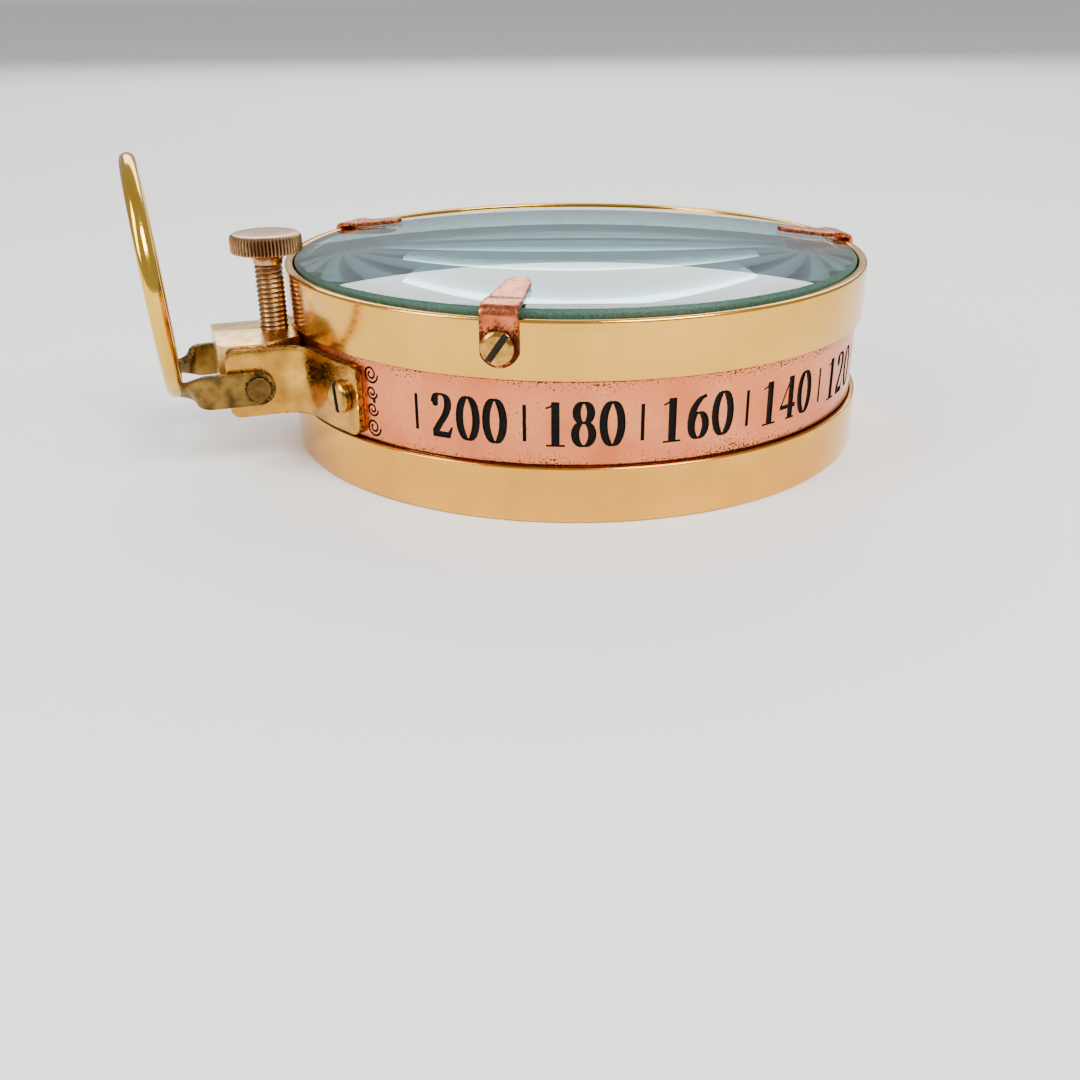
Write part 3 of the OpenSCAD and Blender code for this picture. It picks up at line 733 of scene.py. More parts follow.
# ---------------------------------------------------------------------------
# Lens clips: three tongues of copper sheet. Each is screwed to the upper ring, bent over the rim and
# pressed on the glass. They were heated for bending, so they are dark red round the screws.
def bent_strip(name, centre, across, out, half_width, thickness, materials, edge, stain_from):
    """A strip of sheet metal along a path. Each station is a flat section with rounded edges: it
    reaches half_width to both sides of centre along across, and half the thickness either way along
    out. The attribute edge_mm holds each point's distance from the strip's nearer long edge, and
    stain_mm its distance from the point stain_from."""
    count = len(centre)
    across, out = (np.broadcast_to(np.asarray(v, float), (count, 3)) for v in (across, out))
    half_width, thickness = (np.broadcast_to(np.asarray(v, float), (count,)) for v in (half_width, thickness))
    e = np.minimum(edge, half_width * 0.999)[:, None]
    share = np.linspace(-1, 1, 9)[None, :]
    corner = np.radians([90, 45, 0])[None, :]
    lift = thickness[:, None] / 2
    width = half_width[:, None]
    right_x = width - e + e * np.cos(corner)
    right_y = lift - edge + edge * np.sin(corner)
    x = np.concatenate([share * (width - e), right_x[:, 1:], right_x[:, ::-1],
                        -share[:, 1:] * (width - e), -right_x[:, 1:], -right_x[:, ::-1][:, :-1]], 1)
    y = np.concatenate([np.repeat(lift, 9, 1), right_y[:, 1:], -right_y[:, ::-1],
                        np.repeat(-lift, 8, 1), -right_y[:, 1:], right_y[:, ::-1][:, :-1]], 1)
    points = centre[:, None] + x[..., None] * across[:, None] + y[..., None] * out[:, None]
    along = np.concatenate([[0], np.cumsum(np.linalg.norm(np.diff(centre, axis=0), axis=1))])
    loop = np.concatenate([points, points[:, :1]], 1)
    girth = np.cumsum(np.linalg.norm(np.diff(loop, axis=1), axis=2), axis=1)
    girth = np.concatenate([np.zeros((count, 1)), girth], 1)
    uv = np.stack([np.repeat(along[:, None], girth.shape[1], 1), girth], -1)
    obj = grid_piece(name, points * MM, uv, False, True, materials, 40.0)
    edge_mm = (width - np.abs(x)).ravel()
    far = np.linalg.norm(points.reshape(-1, 3) - stain_from, axis=1)
    for label, values in (("edge_mm", edge_mm), ("stain_mm", far)):
        layer = obj.data.attributes.new(label, "FLOAT", "POINT")
        layer.data.foreach_set("value", values.astype(np.float32))
    weld(obj, 2e-6)
    return obj


def path_frames(path):
    """Directions along a path of points: the difference of each point's two neighbours, made unit."""
    heading = np.gradient(path, axis=0)
    return heading / np.linalg.norm(heading, axis=1)[:, None]


def spaced(path, stations):
    """Points on a path of points at given distances along it."""
    along = np.concatenate([[0], np.cumsum(np.linalg.norm(np.diff(path, axis=0), axis=1))])
    return np.stack([np.interp(stations, along, path[:, k]) for k in range(path.shape[1])], 1)


def path_length(path):
    """Length of a path of points."""
    return np.linalg.norm(np.diff(path, axis=0), axis=1).sum()


def sheet_metal(name, bright, dark, roughness, stain="#4a1e12", edge_reach=0.5, stain_reach=(2.4, 4.2),
                dent_mm=3.5, dent_depth=0.03, scratch_mm=0.16):
    """Rolled sheet worked by hand: shallow dents make its reflections waver, fine scratches run along
    it, and it is dark where its long edges were cut and where a flame or a screw marked it."""
    mat, tree, shader = new_material(name)
    uv = add_node(tree, "ShaderNodeUVMap", uv_map="surface_mm")
    place = add_node(tree, "ShaderNodeTexCoord")
    dents = add_node(tree, "ShaderNodeTexNoise", {"Vector": place.outputs["Object"]},
                     inputs={"Scale": 1 / (dent_mm * MM), "Detail": 2.0})
    spots = add_node(tree, "ShaderNodeTexNoise", {"Vector": place.outputs["Object"]},
                     inputs={"Scale": 1 / (0.45 * MM), "Detail": 4.0, "Roughness": 0.65})
    stretch = add_node(tree, "ShaderNodeMapping", {"Vector": uv.outputs["UV"]},
                       inputs={"Scale": (0.12, 1 / scratch_mm, 1.0)})
    scratches = add_node(tree, "ShaderNodeTexNoise", {"Vector": stretch.outputs["Vector"]},
                         inputs={"Scale": 1.0, "Detail": 3.0, "Roughness": 0.6})
    edge = add_node(tree, "ShaderNodeAttribute", attribute_name="edge_mm")
    near_edge = add_node(tree, "ShaderNodeMapRange", {"Value": edge.outputs["Fac"]},
                         inputs={"From Min": 0.05, "From Max": edge_reach, "To Min": 0.22, "To Max": 0.0})
    flame = add_node(tree, "ShaderNodeAttribute", attribute_name="stain_mm")
    near_screw = add_node(tree, "ShaderNodeMapRange", {"Value": flame.outputs["Fac"]},
                          inputs={"From Min": stain_reach[0], "From Max": stain_reach[1],
                                  "To Min": 0.3, "To Max": 0.0})
    both = add_node(tree, "ShaderNodeMath", {0: near_edge.outputs["Result"],
                                             1: near_screw.outputs["Result"]}, operation="ADD")
    level = add_node(tree, "ShaderNodeMath", {0: spots.outputs["Fac"], 1: both.outputs["Value"]},
                     operation="ADD")
    mask = ramp(tree, level.outputs["Value"], [(0.66, (0, 0, 0)), (0.84, (1, 1, 1))])
    tone = ramp(tree, dents.outputs["Fac"], [(0.3, linear(dark)), (0.65, linear(bright))])
    stained = add_node(tree, "ShaderNodeMix", {"Factor": mask.outputs["Color"],
                                               "A": tone.outputs["Color"]}, data_type="RGBA")
    stained.inputs["B"].default_value = linear(stain)
    tree.links.new(stained.outputs["Result"], shader.inputs["Base Color"])
    rough = add_node(tree, "ShaderNodeMapRange", {"Value": level.outputs["Value"]},
                     inputs={"From Min": 0.4, "From Max": 0.85, "To Min": roughness, "To Max": 0.55})
    tree.links.new(rough.outputs["Result"], shader.inputs["Roughness"])
    waver = add_node(tree, "ShaderNodeBump", {"Height": dents.outputs["Fac"]},
                     inputs={"Strength": 1.0, "Distance": dent_depth * MM})
    lines = add_node(tree, "ShaderNodeBump", {"Height": scratches.outputs["Fac"],
                                              "Normal": waver.outputs["Normal"]},
                     inputs={"Strength": 1.0, "Distance": 0.002 * MM})
    tree.links.new(lines.outputs["Normal"], shader.inputs["Normal"])
    shader.inputs["Metallic"].default_value = 1.0
    return mat


clip_azimuths = {"lens_clip_front": -103.6, "lens_clip_right": 10.0, "lens_clip_back": 150.0}
clip_screw_height = 24.0
clip_thickness = 0.7
clip_width = 5.0
clip_tab_r = 2.75
clip_tip_r = 1.6
clip_reach = 33.7
clip_copper = sheet_metal("flame_bent_copper", "#d9794e", "#a9542f", 0.16, edge_reach=0.7,
                          stain_reach=(2.3, 3.9), dent_mm=2.2, dent_depth=0.05)


def glass_height(radius, azimuth):
    """Height of the lens's domed face, in millimetres, at a radius and azimuth, with its lean."""
    return (lens_foot + dome_foot + lens_rise - (dome_r - sqrt(dome_r ** 2 - radius ** 2))
            - radius * sin(azimuth) * sin(lens_lean))


def make_clip(name, azimuth):
    """The clip's path in the plane of its azimuth: up the ring's side, a small bend over the rim,
    then down the glass to the tip. Its tab and its tip are round."""
    low = clip_screw_height - clip_tab_r
    middle = case_r + 0.05 + clip_thickness / 2
    rim = max(glass_height(dome_edge, azimuth) + 0.12, ring_high[2] + 0.1) + clip_thickness / 2
    bend = 0.9
    turn = np.radians(np.linspace(0, 80, 9))
    corner = np.stack([middle - bend + bend * np.cos(turn), rim - bend + bend * np.sin(turn)], 1)
    reach = np.linspace(dome_edge - 1.5, clip_reach, 12)
    glass = np.array([(r, glass_height(r, azimuth) + 0.14 + clip_thickness / 2) for r in reach])
    bridge = np.array([(dome_edge + 0.1, max(rim, glass[0, 1] + 0.05))])
    profile = np.concatenate([[(middle, low)], corner, bridge, glass])
    total = path_length(profile)
    tab = clip_tab_r * (1 - np.cos(np.linspace(0, pi / 2, 12)))
    tip = total - clip_tip_r * (1 - np.cos(np.linspace(pi / 2, 0, 10)))
    stations = np.concatenate([tab, np.linspace(tab[-1], tip[0], 46)[1:-1], tip])
    spot = spaced(profile, stations)
    taper = np.interp(stations, [0, path_length(profile[:11]), total],
                      [clip_width / 2, clip_width / 2, clip_tip_r])
    width = np.minimum(taper, np.sqrt(np.maximum(clip_tab_r ** 2 - (clip_tab_r - stations) ** 2, 0))
                       + 99 * (stations > clip_tab_r))
    ending = stations > total - clip_tip_r
    width[ending] = np.minimum(width[ending], np.sqrt(np.maximum(
        clip_tip_r ** 2 - (stations[ending] - total + clip_tip_r) ** 2, 0)))
    radial = np.array([cos(azimuth), sin(azimuth), 0])
    upward = np.array([0, 0, 1.0])
    side = np.array([-sin(azimuth), cos(azimuth), 0])
    centre = spot[:, :1] * radial + spot[:, 1:] * upward
    heading = path_frames(centre)
    outward = np.cross(side, heading)
    screw = radial * (case_r + clip_thickness) + upward * clip_screw_height
    return bent_strip(name, centre, side, outward, width, clip_thickness, [clip_copper], 0.12, screw)


for node, azimuth in clip_azimuths.items():
    clip = make_clip(node.replace("lens_clip", "copper_clip"), radians(azimuth))
    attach(clip, "case")
    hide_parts(node)


# ---------------------------------------------------------------------------
# Small screws: brass cheese heads with sawn slots, three on the clips and two on the bracket's
# flanges. Their edges are broken by polishing, and their slots are painted near black as shade.
def softened_copy(name, node, width_mm, materials, angle=30.0):
    """A copy of a CAD node with its doubles merged, flat faces joined and its sharp edges rounded."""
    source = frame["nodes"][node]
    work = bmesh.new()
    work.from_mesh(source.data)
    bmesh.ops.remove_doubles(work, verts=work.verts, dist=2e-6)
    bmesh.ops.dissolve_limit(work, angle_limit=radians(1.0), verts=work.verts, edges=work.edges)
    mesh = bpy.data.meshes.new(name)
    work.to_mesh(mesh)
    work.free()
    for mat in materials:
        mesh.materials.append(mat)
    mesh.polygons.foreach_set("material_index", np.zeros(len(mesh.polygons), np.int32))
    mesh.shade_smooth()
    mesh.set_sharp_from_angle(angle=radians(angle))
    obj = bpy.data.objects.new(name, mesh)
    bpy.context.scene.collection.objects.link(obj)
    bevel = obj.modifiers.new("broken_edges", "BEVEL")
    bevel.width = width_mm * MM
    bevel.segments = 3
    bevel.limit_method = "ANGLE"
    bevel.angle_limit = radians(angle)
    bevel.harden_normals = True
    return obj


def machined_metal(name, bright, dull, roughness, grain_mm=0.5, stretch=(1.0, 1.0, 1.0), depth=0.006):
    """Turned or filed metal on Object coordinates: soft tarnish patches, and a fine grain that a
    stretch in one direction turns into file marks."""
    mat, tree, shader = new_material(name)
    place = add_node(tree, "ShaderNodeTexCoord")
    patch = add_node(tree, "ShaderNodeTexNoise", {"Vector": place.outputs["Object"]},
                     inputs={"Scale": 1 / (3.5 * MM), "Detail": 5.0, "Roughness": 0.65})
    drawn = add_node(tree, "ShaderNodeMapping", {"Vector": place.outputs["Object"]},
                     inputs={"Scale": stretch})
    grain = add_node(tree, "ShaderNodeTexNoise", {"Vector": drawn.outputs["Vector"]},
                     inputs={"Scale": 1 / (grain_mm * MM), "Detail": 3.0, "Roughness": 0.6})
    tone = ramp(tree, patch.outputs["Fac"], [(0.35, linear(dull)), (0.65, linear(bright))])
    tree.links.new(tone.outputs["Color"], shader.inputs["Base Color"])
    rough = add_node(tree, "ShaderNodeMapRange", {"Value": patch.outputs["Fac"]},
                     inputs={"From Min": 0.3, "From Max": 0.7, "To Min": roughness * 1.4,
                             "To Max": roughness * 0.8})
    tree.links.new(rough.outputs["Result"], shader.inputs["Roughness"])
    bump = add_node(tree, "ShaderNodeBump", {"Height": grain.outputs["Fac"]},
                    inputs={"Strength": 1.0, "Distance": depth * MM})
    tree.links.new(bump.outputs["Normal"], shader.inputs["Normal"])
    shader.inputs["Metallic"].default_value = 1.0
    return mat


def slots_of(obj, azimuth, height, turn):
    """Turns one screw of a set about its own axis, which points out along azimuth at height, and gives
    the faces of its slot the second material, which paints shade into the slot. They lie inside the
    head, below its top."""
    axis = Vector((cos(azimuth), sin(azimuth), 0))
    on_axis = axis * case_r * MM + Vector((0, 0, height * MM))
    points = np.array([v.co for v in obj.data.vertices])
    reach = points @ np.array(axis)
    off_axis = np.linalg.norm(points - np.array(on_axis) - np.outer(reach - case_r * MM, axis), axis=1)
    own = (off_axis < 3.2 * MM) & (reach > case_r * 0.8 * MM)
    about = Matrix.Translation(on_axis) @ Matrix.Rotation(turn, 4, axis) @ Matrix.Translation(-on_axis)
    for k in np.flatnonzero(own):
        obj.data.vertices[k].co = about @ obj.data.vertices[k].co
    top, head = reach[own].max(), off_axis[own & (reach > reach[own].max() - 0.3 * MM)].max()
    for face in obj.data.polygons:
        rise = axis.dot(face.center) - top
        if own[face.vertices[0]] and -1.0 * MM < rise < -0.1 * MM:
            aside = (face.center - on_axis - axis * (axis.dot(face.center) - case_r * MM)).length
            if aside < 0.85 * head:
                # This face gets the painted slot shade.
                face.material_index = 1


# Painted shade for the screw slots: a near-black mottled colour on the slot faces, where shade falls.
painted_slot_shade = mottled("painted_slot_shade", 0.3, (linear("#0f0b07"), linear("#33220f")), 0.9, span=(0.35, 0.7))[0]
clip_slot_turns = (-60, 25, 80)
cheek_screw_angle = radians(25)
cheek_screw_height = 13.4
screw_brass = machined_metal("polished_screw_brass", "#dba548", "#6e4a1e", 0.2, grain_mm=0.35,
                             stretch=(1.0, 1.0, 0.15))
for name, node in (("clip_screw_set", "clip_screws"), ("flange_screw_pair", "cheek_screws")):
    # Each screw set's second material is the near-black painted shade in the slots.
    screws = softened_copy(name, node, 0.12, [screw_brass, painted_slot_shade])
    if node == "clip_screws":
        for azimuth, turn in zip(clip_azimuths.values(), clip_slot_turns):
            slots_of(screws, radians(azimuth), clip_screw_height, radians(turn))
    else:
        for side in (1, -1):
            slots_of(screws, bracket_angle + side * cheek_screw_angle, cheek_screw_height, 0)
    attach(screws, "case")
    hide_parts(node)

# ---------------------------------------------------------------------------
# Bracket cheeks: two strips of brass sheet, bent by hand. Each lies on the copper band as a flange,
# turns outwards through a flare and stands beside the block. A screw through the flange holds it.
sheet_t = 1.1
cheek_out = 8.3
flare_r = 5.0
cheek_end = 55.7
cheek_low, cheek_top = in_mm("cheek_front")[0][2], in_mm("cheek_front")[1][2]
cheek_corner_r = 1.5
flange_mid = band_r + 0.05 + sheet_t / 2
cheek_brass = sheet_metal("hand_bent_brass_sheet", "#d9a242", "#9a6a28", 0.13, stain="#2c2010",
                          edge_reach=0.35, stain_reach=(1.9, 2.5), dent_mm=5.0, dent_depth=0.1)
bracket_turn = np.array([[cos(bracket_angle), -sin(bracket_angle), 0],
                         [sin(bracket_angle), cos(bracket_angle), 0], [0, 0, 1]])


def from_bracket(points):
    """Turns points of (out along the bracket, across it, up) into the compass's own frame."""
    return np.asarray(points, float) @ bracket_turn.T


def make_cheek(name, side):
    """The cheek's plan: straight beside the block, a flare of flare_r, then an arc round the band.
    It stands on edge, and all four of its corners are round."""
    flare_mid = flare_r + sheet_t / 2
    bend_y = cheek_out + flare_r
    bend_x = sqrt((flange_mid + flare_mid) ** 2 - bend_y ** 2)
    meet = atan2(bend_y, bend_x)
    flare = np.linspace(-pi / 2, -pi / 2 - (pi / 2 - meet), 16)
    flange = np.linspace(meet, flange_half, 16)[1:]
    plan = np.concatenate([
        np.stack([np.linspace(cheek_end, bend_x, 10)[:-1], np.full(9, bend_y - flare_mid)], 1),
        np.stack([bend_x + flare_mid * np.cos(flare), bend_y + flare_mid * np.sin(flare)], 1),
        np.stack([flange_mid * np.cos(flange), flange_mid * np.sin(flange)], 1)])
    total = path_length(plan)
    turn = cheek_corner_r * (1 - np.cos(np.linspace(0, pi / 2, 7)))
    stations = np.concatenate([[0], turn, np.linspace(turn[-1], total - turn[-1], 60)[1:-1],
                               (total - turn)[::-1], [total]])
    spot = spaced(plan, stations)
    half = (cheek_top - cheek_low) / 2
    to_end = np.minimum(stations, total - stations)
    width = half - cheek_corner_r + np.sqrt(np.maximum(
        cheek_corner_r ** 2 - np.maximum(cheek_corner_r - to_end, 0) ** 2, 0))
    width[[0, -1]] = 0
    thickness = np.full(len(stations), sheet_t)
    thickness[[0, 1, -2, -1]] = sheet_t - 0.25
    centre = np.c_[spot[:, 0], side * spot[:, 1], np.full(len(spot), (cheek_low + cheek_top) / 2)]
    heading = path_frames(centre)
    heading[0], heading[-1] = heading[2], heading[-3]
    up = np.array([0, 0, 1.0])
    out = np.cross(up, heading) * side
    screw = from_bracket([flange_mid * cos(cheek_screw_angle), side * flange_mid * sin(cheek_screw_angle),
                          cheek_screw_height])
    return bent_strip(name, from_bracket(centre), up, from_bracket(out), width, thickness,
                      [cheek_brass], 0.16, screw)


for node, side in (("cheek_front", 1), ("cheek_back", -1)):
    cheek = make_cheek(node.replace("cheek", "bracket_cheek"), side)
    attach(cheek, "case")
    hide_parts(node)

# ---------------------------------------------------------------------------
# Screw block: a filed brass block, paler than the sheet, tapped for the thumb screw. It sits between
# the cheeks, and the hinge pin holds it there.
block_brass = machined_metal("filed_pale_brass", "#e6c078", "#b98f4c", 0.24, grain_mm=0.3,
                             stretch=(0.12, 1.0, 1.0), depth=0.01)
block = softened_copy("tapped_block", "screw_block", 0.45, [block_brass], 40.0)
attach(block, "case")
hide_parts("screw_block")

# ---------------------------------------------------------------------------
# Hinge pin: a brass pin, dark with age, riveted at both ends. It goes through the block, the cheeks
# and the fork arms.
aged_brass = machined_metal("darkened_brass", "#7d5f2e", "#46351a", 0.34, grain_mm=0.4, depth=0.012)
pin = softened_copy("riveted_hinge_pin", "hinge_pin", 0.15, [aged_brass])
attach(pin, "case")
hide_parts("hinge_pin")

# ---------------------------------------------------------------------------
# Fork arms: two strips of dull, scratched brass on the pin. Each narrows to a neck, twists and
# closes in on the thumb ring's wire, where it is brazed.
pin_out = np.hypot(*bracket_joint["pos_m"][:2]) / MM
pin_height = bracket_joint["pos_m"][2] / MM
arm_half = 2.45
arm_mid = cheek_out + 0.2 + sheet_t / 2
neck_start = 58.6
arm_tip = 62.5
arm_brass = sheet_metal("dull_scratched_brass", "#8c6c34", "#4c3a1c", 0.3, stain="#1d150a",
                        edge_reach=0.6, stain_reach=(1.9, 2.6), dent_mm=1.8, dent_depth=0.05,
                        scratch_mm=0.25)


def make_arm(name, side):
    """The arm's path: straight past the pin, then bent in to the ring. Its first end is round about
    the pin, and the neck narrows by a smooth step while the strip twists through neck_twist."""
    neck_twist = radians(38) * side
    plan = smooth_line([(pin_out - arm_half, arm_mid), (pin_out + 2, arm_mid), (neck_start - 1, arm_mid),
                        (neck_start + 1.2, arm_mid - 0.45), (60.8, 7.3), (arm_tip, 5.9)], 12)
    total = path_length(plan)
    start = arm_half * (1 - np.cos(np.linspace(0, pi / 2, 12)))
    stations = np.concatenate([start, np.linspace(start[-1], total, 44)[1:], [total]])
    spot = spaced(plan, stations)
    narrow = np.clip((stations - (total - 5.4)) / 4.6, 0, 1)
    narrow = narrow ** 2 * (3 - 2 * narrow)
    width = arm_half - 1.2 * narrow
    round_end = stations < arm_half
    width[round_end] = np.sqrt(np.maximum(arm_half ** 2 - (arm_half - stations[round_end]) ** 2, 0))
    width[-1] = 0
    centre = np.c_[spot[:, 0], side * spot[:, 1], np.full(len(spot), pin_height)]
    heading = path_frames(centre[:-1])
    heading = np.concatenate([heading, heading[-1:]])
    up = np.array([0, 0, 1.0])
    level = np.cross(up, heading) * side
    twist = (neck_twist * narrow)[:, None]
    across = np.cos(twist) * up + np.sin(twist) * level
    out = np.cross(across, heading) * side
    hole = from_bracket([pin_out, side * arm_mid, pin_height])
    return bent_strip(name, from_bracket(centre), from_bracket(across), from_bracket(out), width,
                      sheet_t, [arm_brass], 0.16, hole)


for node, side in (("fork_arm_front", 1), ("fork_arm_back", -1)):
    arm = make_arm(node.replace("fork_arm", "ring_arm"), side)
    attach(arm, "thumb_loop")
    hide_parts(node)

# ---------------------------------------------------------------------------
# Thumb ring: round brass wire, hard drawn and polished, closed at the bottom where the arms hold it.
loop_out, loop_height = 63.85, 27.7
loop_r, wire_r = 16.0, 1.2
loop_lean = radians(3.6)
wire_brass = turned_metal("bright_drawn_wire", "#e3b443", "#a87c26", 0.12, line_mm=0.2, line_depth=0.002)


def make_thumb_ring():
    """A wire of wire_r round a circle of loop_r, leaning out by loop_lean. The hand-bent circle is
    up to 0.12 mm off true, by the third and fifth harmonics."""
    turn = np.linspace(0, 2 * pi, 180, endpoint=False)
    section = np.linspace(0, 2 * pi, 28, endpoint=False)
    radius = loop_r - 0.08 + 0.07 * np.sin(3 * turn + 0.6) + 0.04 * np.sin(5 * turn)
    reach = radius[:, None] + wire_r * np.cos(section)[None, :]
    thick = np.broadcast_to(wire_r * np.sin(section)[None, :], reach.shape)
    across, up = reach * np.sin(turn)[:, None], -reach * np.cos(turn)[:, None]
    out = loop_out + thick * cos(loop_lean) + up * sin(loop_lean)
    height = loop_height - thick * sin(loop_lean) + up * cos(loop_lean)
    points = from_bracket(np.stack([out, across, height], -1))
    uv = np.stack(np.meshgrid(np.linspace(0, 2 * pi * loop_r, 181), np.linspace(0, 2 * pi * wire_r, 29),
                              indexing="ij"), -1)
    obj = grid_piece("wire_thumb_ring", points * MM, uv[..., ::-1], True, True, [wire_brass])
    weld(obj)
    return obj


thumb_ring = make_thumb_ring()
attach(thumb_ring, "thumb_loop")
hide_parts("thumb_ring")

# ---------------------------------------------------------------------------
# Thumb screw: turned from bar, with a straight knurled head, a fillet under it and a rolled thread.
# It isn't polished, so it has gone brown in the roots of the knurl and of the thread.
spin_joint = next(j for j in frame["joints"] if j["name"] == "thumb_screw_spin")
screw_centre = np.array(spin_joint["pos_m"][:2]) / MM
screw_low, screw_high = in_mm("thumb_screw")
head_r, head_h, head_top = 5.2, 2.8, screw_high[2]
shank_r = 2.1
thread_pitch = 0.7
thread_depth = 0.22
knurl_teeth = 60
knurl_depth = 0.32


def make_thumb_screw():
    """A profile spun round the screw's axis. On the head's side the radius dips by knurl_depth times
    a triangle wave of the angle, and on the shank it dips by thread_depth times a triangle wave of
    height / pitch - turn, which is the helix."""
    bore = 0.87
    end = screw_low[2]
    under = head_top - head_h
    thread_top = under - 1.7
    threads = np.arange(end + 0.35, thread_top, thread_pitch / 7)
    fillet = np.radians(np.linspace(0, 90, 9))
    profile = [(0, end + 1.8, 0, 0), (bore, end + 1.8, 0, 0), (bore, end, 0, 0), (shank_r - 0.35, end, 0, 0)]
    profile += [(shank_r, z, 0, 1) for z in threads]
    profile += [(shank_r + 1.6 * (1 - cos(a)), thread_top + 0.1 + 1.6 * sin(a), 0, 0) for a in fillet]
    profile += [(head_r - 0.45, under, 0, 0), (head_r - 0.1, under + 0.12, 0.5, 0),
                (head_r, under + 0.4, 1, 0), (head_r, head_top - 0.75, 1, 0),
                (head_r - 0.12, head_top - 0.4, 0.6, 0), (head_r - 0.55, head_top - 0.12, 0.1, 0),
                (head_r - 1.1, head_top - 0.03, 0, 0), (head_r - 2.4, head_top, 0, 0), (0, head_top, 0, 0)]
    profile = np.array(profile)
    turns = 360
    angle = np.linspace(0, 2 * pi, turns, endpoint=False)
    knurl = np.abs((angle * knurl_teeth / (2 * pi)) % 1 - 0.5) * 2
    share = (profile[None, :, 1] / thread_pitch - angle[:, None] / (2 * pi)) % 1
    thread = np.clip(np.abs(share - 0.5) * 2.6 - 0.1, 0, 1)
    radius = (profile[None, :, 0] - knurl_depth * profile[None, :, 2] * knurl[:, None]
              - thread_depth * profile[None, :, 3] * thread)
    x = screw_centre[0] + radius * np.cos(angle)[:, None]
    y = screw_centre[1] + radius * np.sin(angle)[:, None]
    z = np.broadcast_to(profile[None, :, 1], x.shape)
    uv = np.stack(np.meshgrid(np.linspace(0, 2 * pi * head_r, turns + 1), profile[:, 1], indexing="ij"), -1)
    obj = grid_piece("knurled_thumb_screw", np.stack([x, y, z], -1) * MM, uv, True, False,
                     [screw_bronze], 35.0)
    root = (profile[None, :, 2] * knurl[:, None] + 0.6 * profile[None, :, 3] * thread).ravel()
    layer = obj.data.attributes.new("root", "FLOAT", "POINT")
    layer.data.foreach_set("value", root.astype(np.float32))
    weld(obj)
    return obj


# Unpolished brass bar, brown with age: bright on the crests, dark in the roots.
screw_bronze, tree, shader = new_material("browned_bar_brass")
depth = add_node(tree, "ShaderNodeAttribute", attribute_name="root")
place = add_node(tree, "ShaderNodeTexCoord")
age = add_node(tree, "ShaderNodeTexNoise", {"Vector": place.outputs["Object"]},
               inputs={"Scale": 1 / (1.6 * MM), "Detail": 5.0, "Roughness": 0.7})
wear = add_node(tree, "ShaderNodeMath", {0: age.outputs["Fac"]}, operation="MULTIPLY_ADD",
                inputs={1: 0.8, 2: -0.4})
darkness = add_node(tree, "ShaderNodeMath", {0: depth.outputs["Fac"], 1: wear.outputs["Value"]},
                    operation="ADD")
bar_tone = ramp(tree, darkness.outputs["Value"], [(0.0, linear("#b98f66")), (0.35, linear("#866341")),
                                                  (0.9, linear("#40291b"))])
tree.links.new(bar_tone.outputs["Color"], shader.inputs["Base Color"])
bar_rough = add_node(tree, "ShaderNodeMapRange", {"Value": darkness.outputs["Value"]},
                     inputs={"To Min": 0.26, "To Max": 0.55})
tree.links.new(bar_rough.outputs["Result"], shader.inputs["Roughness"])
shader.inputs["Metallic"].default_value = 1.0
thumb_screw = make_thumb_screw()
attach(thumb_screw, "thumb_screw")
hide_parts("thumb_screw")

# ---------------------------------------------------------------------------
# Spacer ring: a turned steel tube, chemically blackened so that it doesn't glare under the lens. It
# stands on the dial and the glass's seat holds it down.
black_steel = machined_metal("blackened_steel", "#3a3c40", "#232427", 0.42, grain_mm=0.25,
                             stretch=(0.2, 0.2, 1.0))
spacer = softened_copy("steel_spacer_ring", "spacer_ring", 0.1, [black_steel])
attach(spacer, "case")
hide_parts("spacer_ring")

# ---------------------------------------------------------------------------
# Dial screws: two small brass screws in posts that stand on the base. They hold the dial plate.
dial_screws = softened_copy("dial_screw_pair", "dial_screws", 0.08, [screw_brass])
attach(dial_screws, "case")
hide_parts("dial_screws")

# ---------------------------------------------------------------------------
# Pivot post: hardened steel with a fine point, riveted into the base and left grey from the quench.
hard_steel = machined_metal("hardened_steel", "#a9adb2", "#6f757c", 0.2, grain_mm=0.2)
post = softened_copy("hardened_pivot_post", "pivot_post", 0.05, [hard_steel])
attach(post, "case")
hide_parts("pivot_post")

# ---------------------------------------------------------------------------
# Compass needle: a lozenge of spring steel, heated to deep blue. Its north half is painted red.
needle_finish, tree, shader = new_material("blued_and_painted_steel")
place = add_node(tree, "ShaderNodeTexCoord")
apart = add_node(tree, "ShaderNodeSeparateXYZ", {"Vector": place.outputs["Object"]})
oxide = add_node(tree, "ShaderNodeTexNoise", {"Vector": place.outputs["Object"]},
                 inputs={"Scale": 1 / (2.5 * MM), "Detail": 3.0})
blue = ramp(tree, oxide.outputs["Fac"], [(0.3, linear("#16255c")), (0.7, linear("#2c3f8e"))])
paint_line = add_node(tree, "ShaderNodeMapRange", {"Value": apart.outputs["Y"]},
                      inputs={"From Min": 5.95 * MM, "From Max": 6.05 * MM})
painted = add_node(tree, "ShaderNodeMix", {"Factor": paint_line.outputs["Result"],
                                           "A": blue.outputs["Color"]}, data_type="RGBA")
painted.inputs["B"].default_value = linear("#b3201c")
bare = add_node(tree, "ShaderNodeMath", {1: paint_line.outputs["Result"]}, operation="SUBTRACT",
                inputs={0: 1.0})
tree.links.new(painted.outputs["Result"], shader.inputs["Base Color"])
tree.links.new(bare.outputs["Value"], shader.inputs["Metallic"])
shader.inputs["Roughness"].default_value = 0.25
needle = softened_copy("blued_needle", "compass_needle", 0.08, [needle_finish])
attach(needle, "needle")
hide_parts("compass_needle")

# ---------------------------------------------------------------------------
# Needle cap: a small turned brass hub, staked into the needle and hollow for the jewel.
cap = softened_copy("turned_needle_cap", "needle_cap", 0.06, [screw_brass])
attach(cap, "needle")
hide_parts("needle_cap")

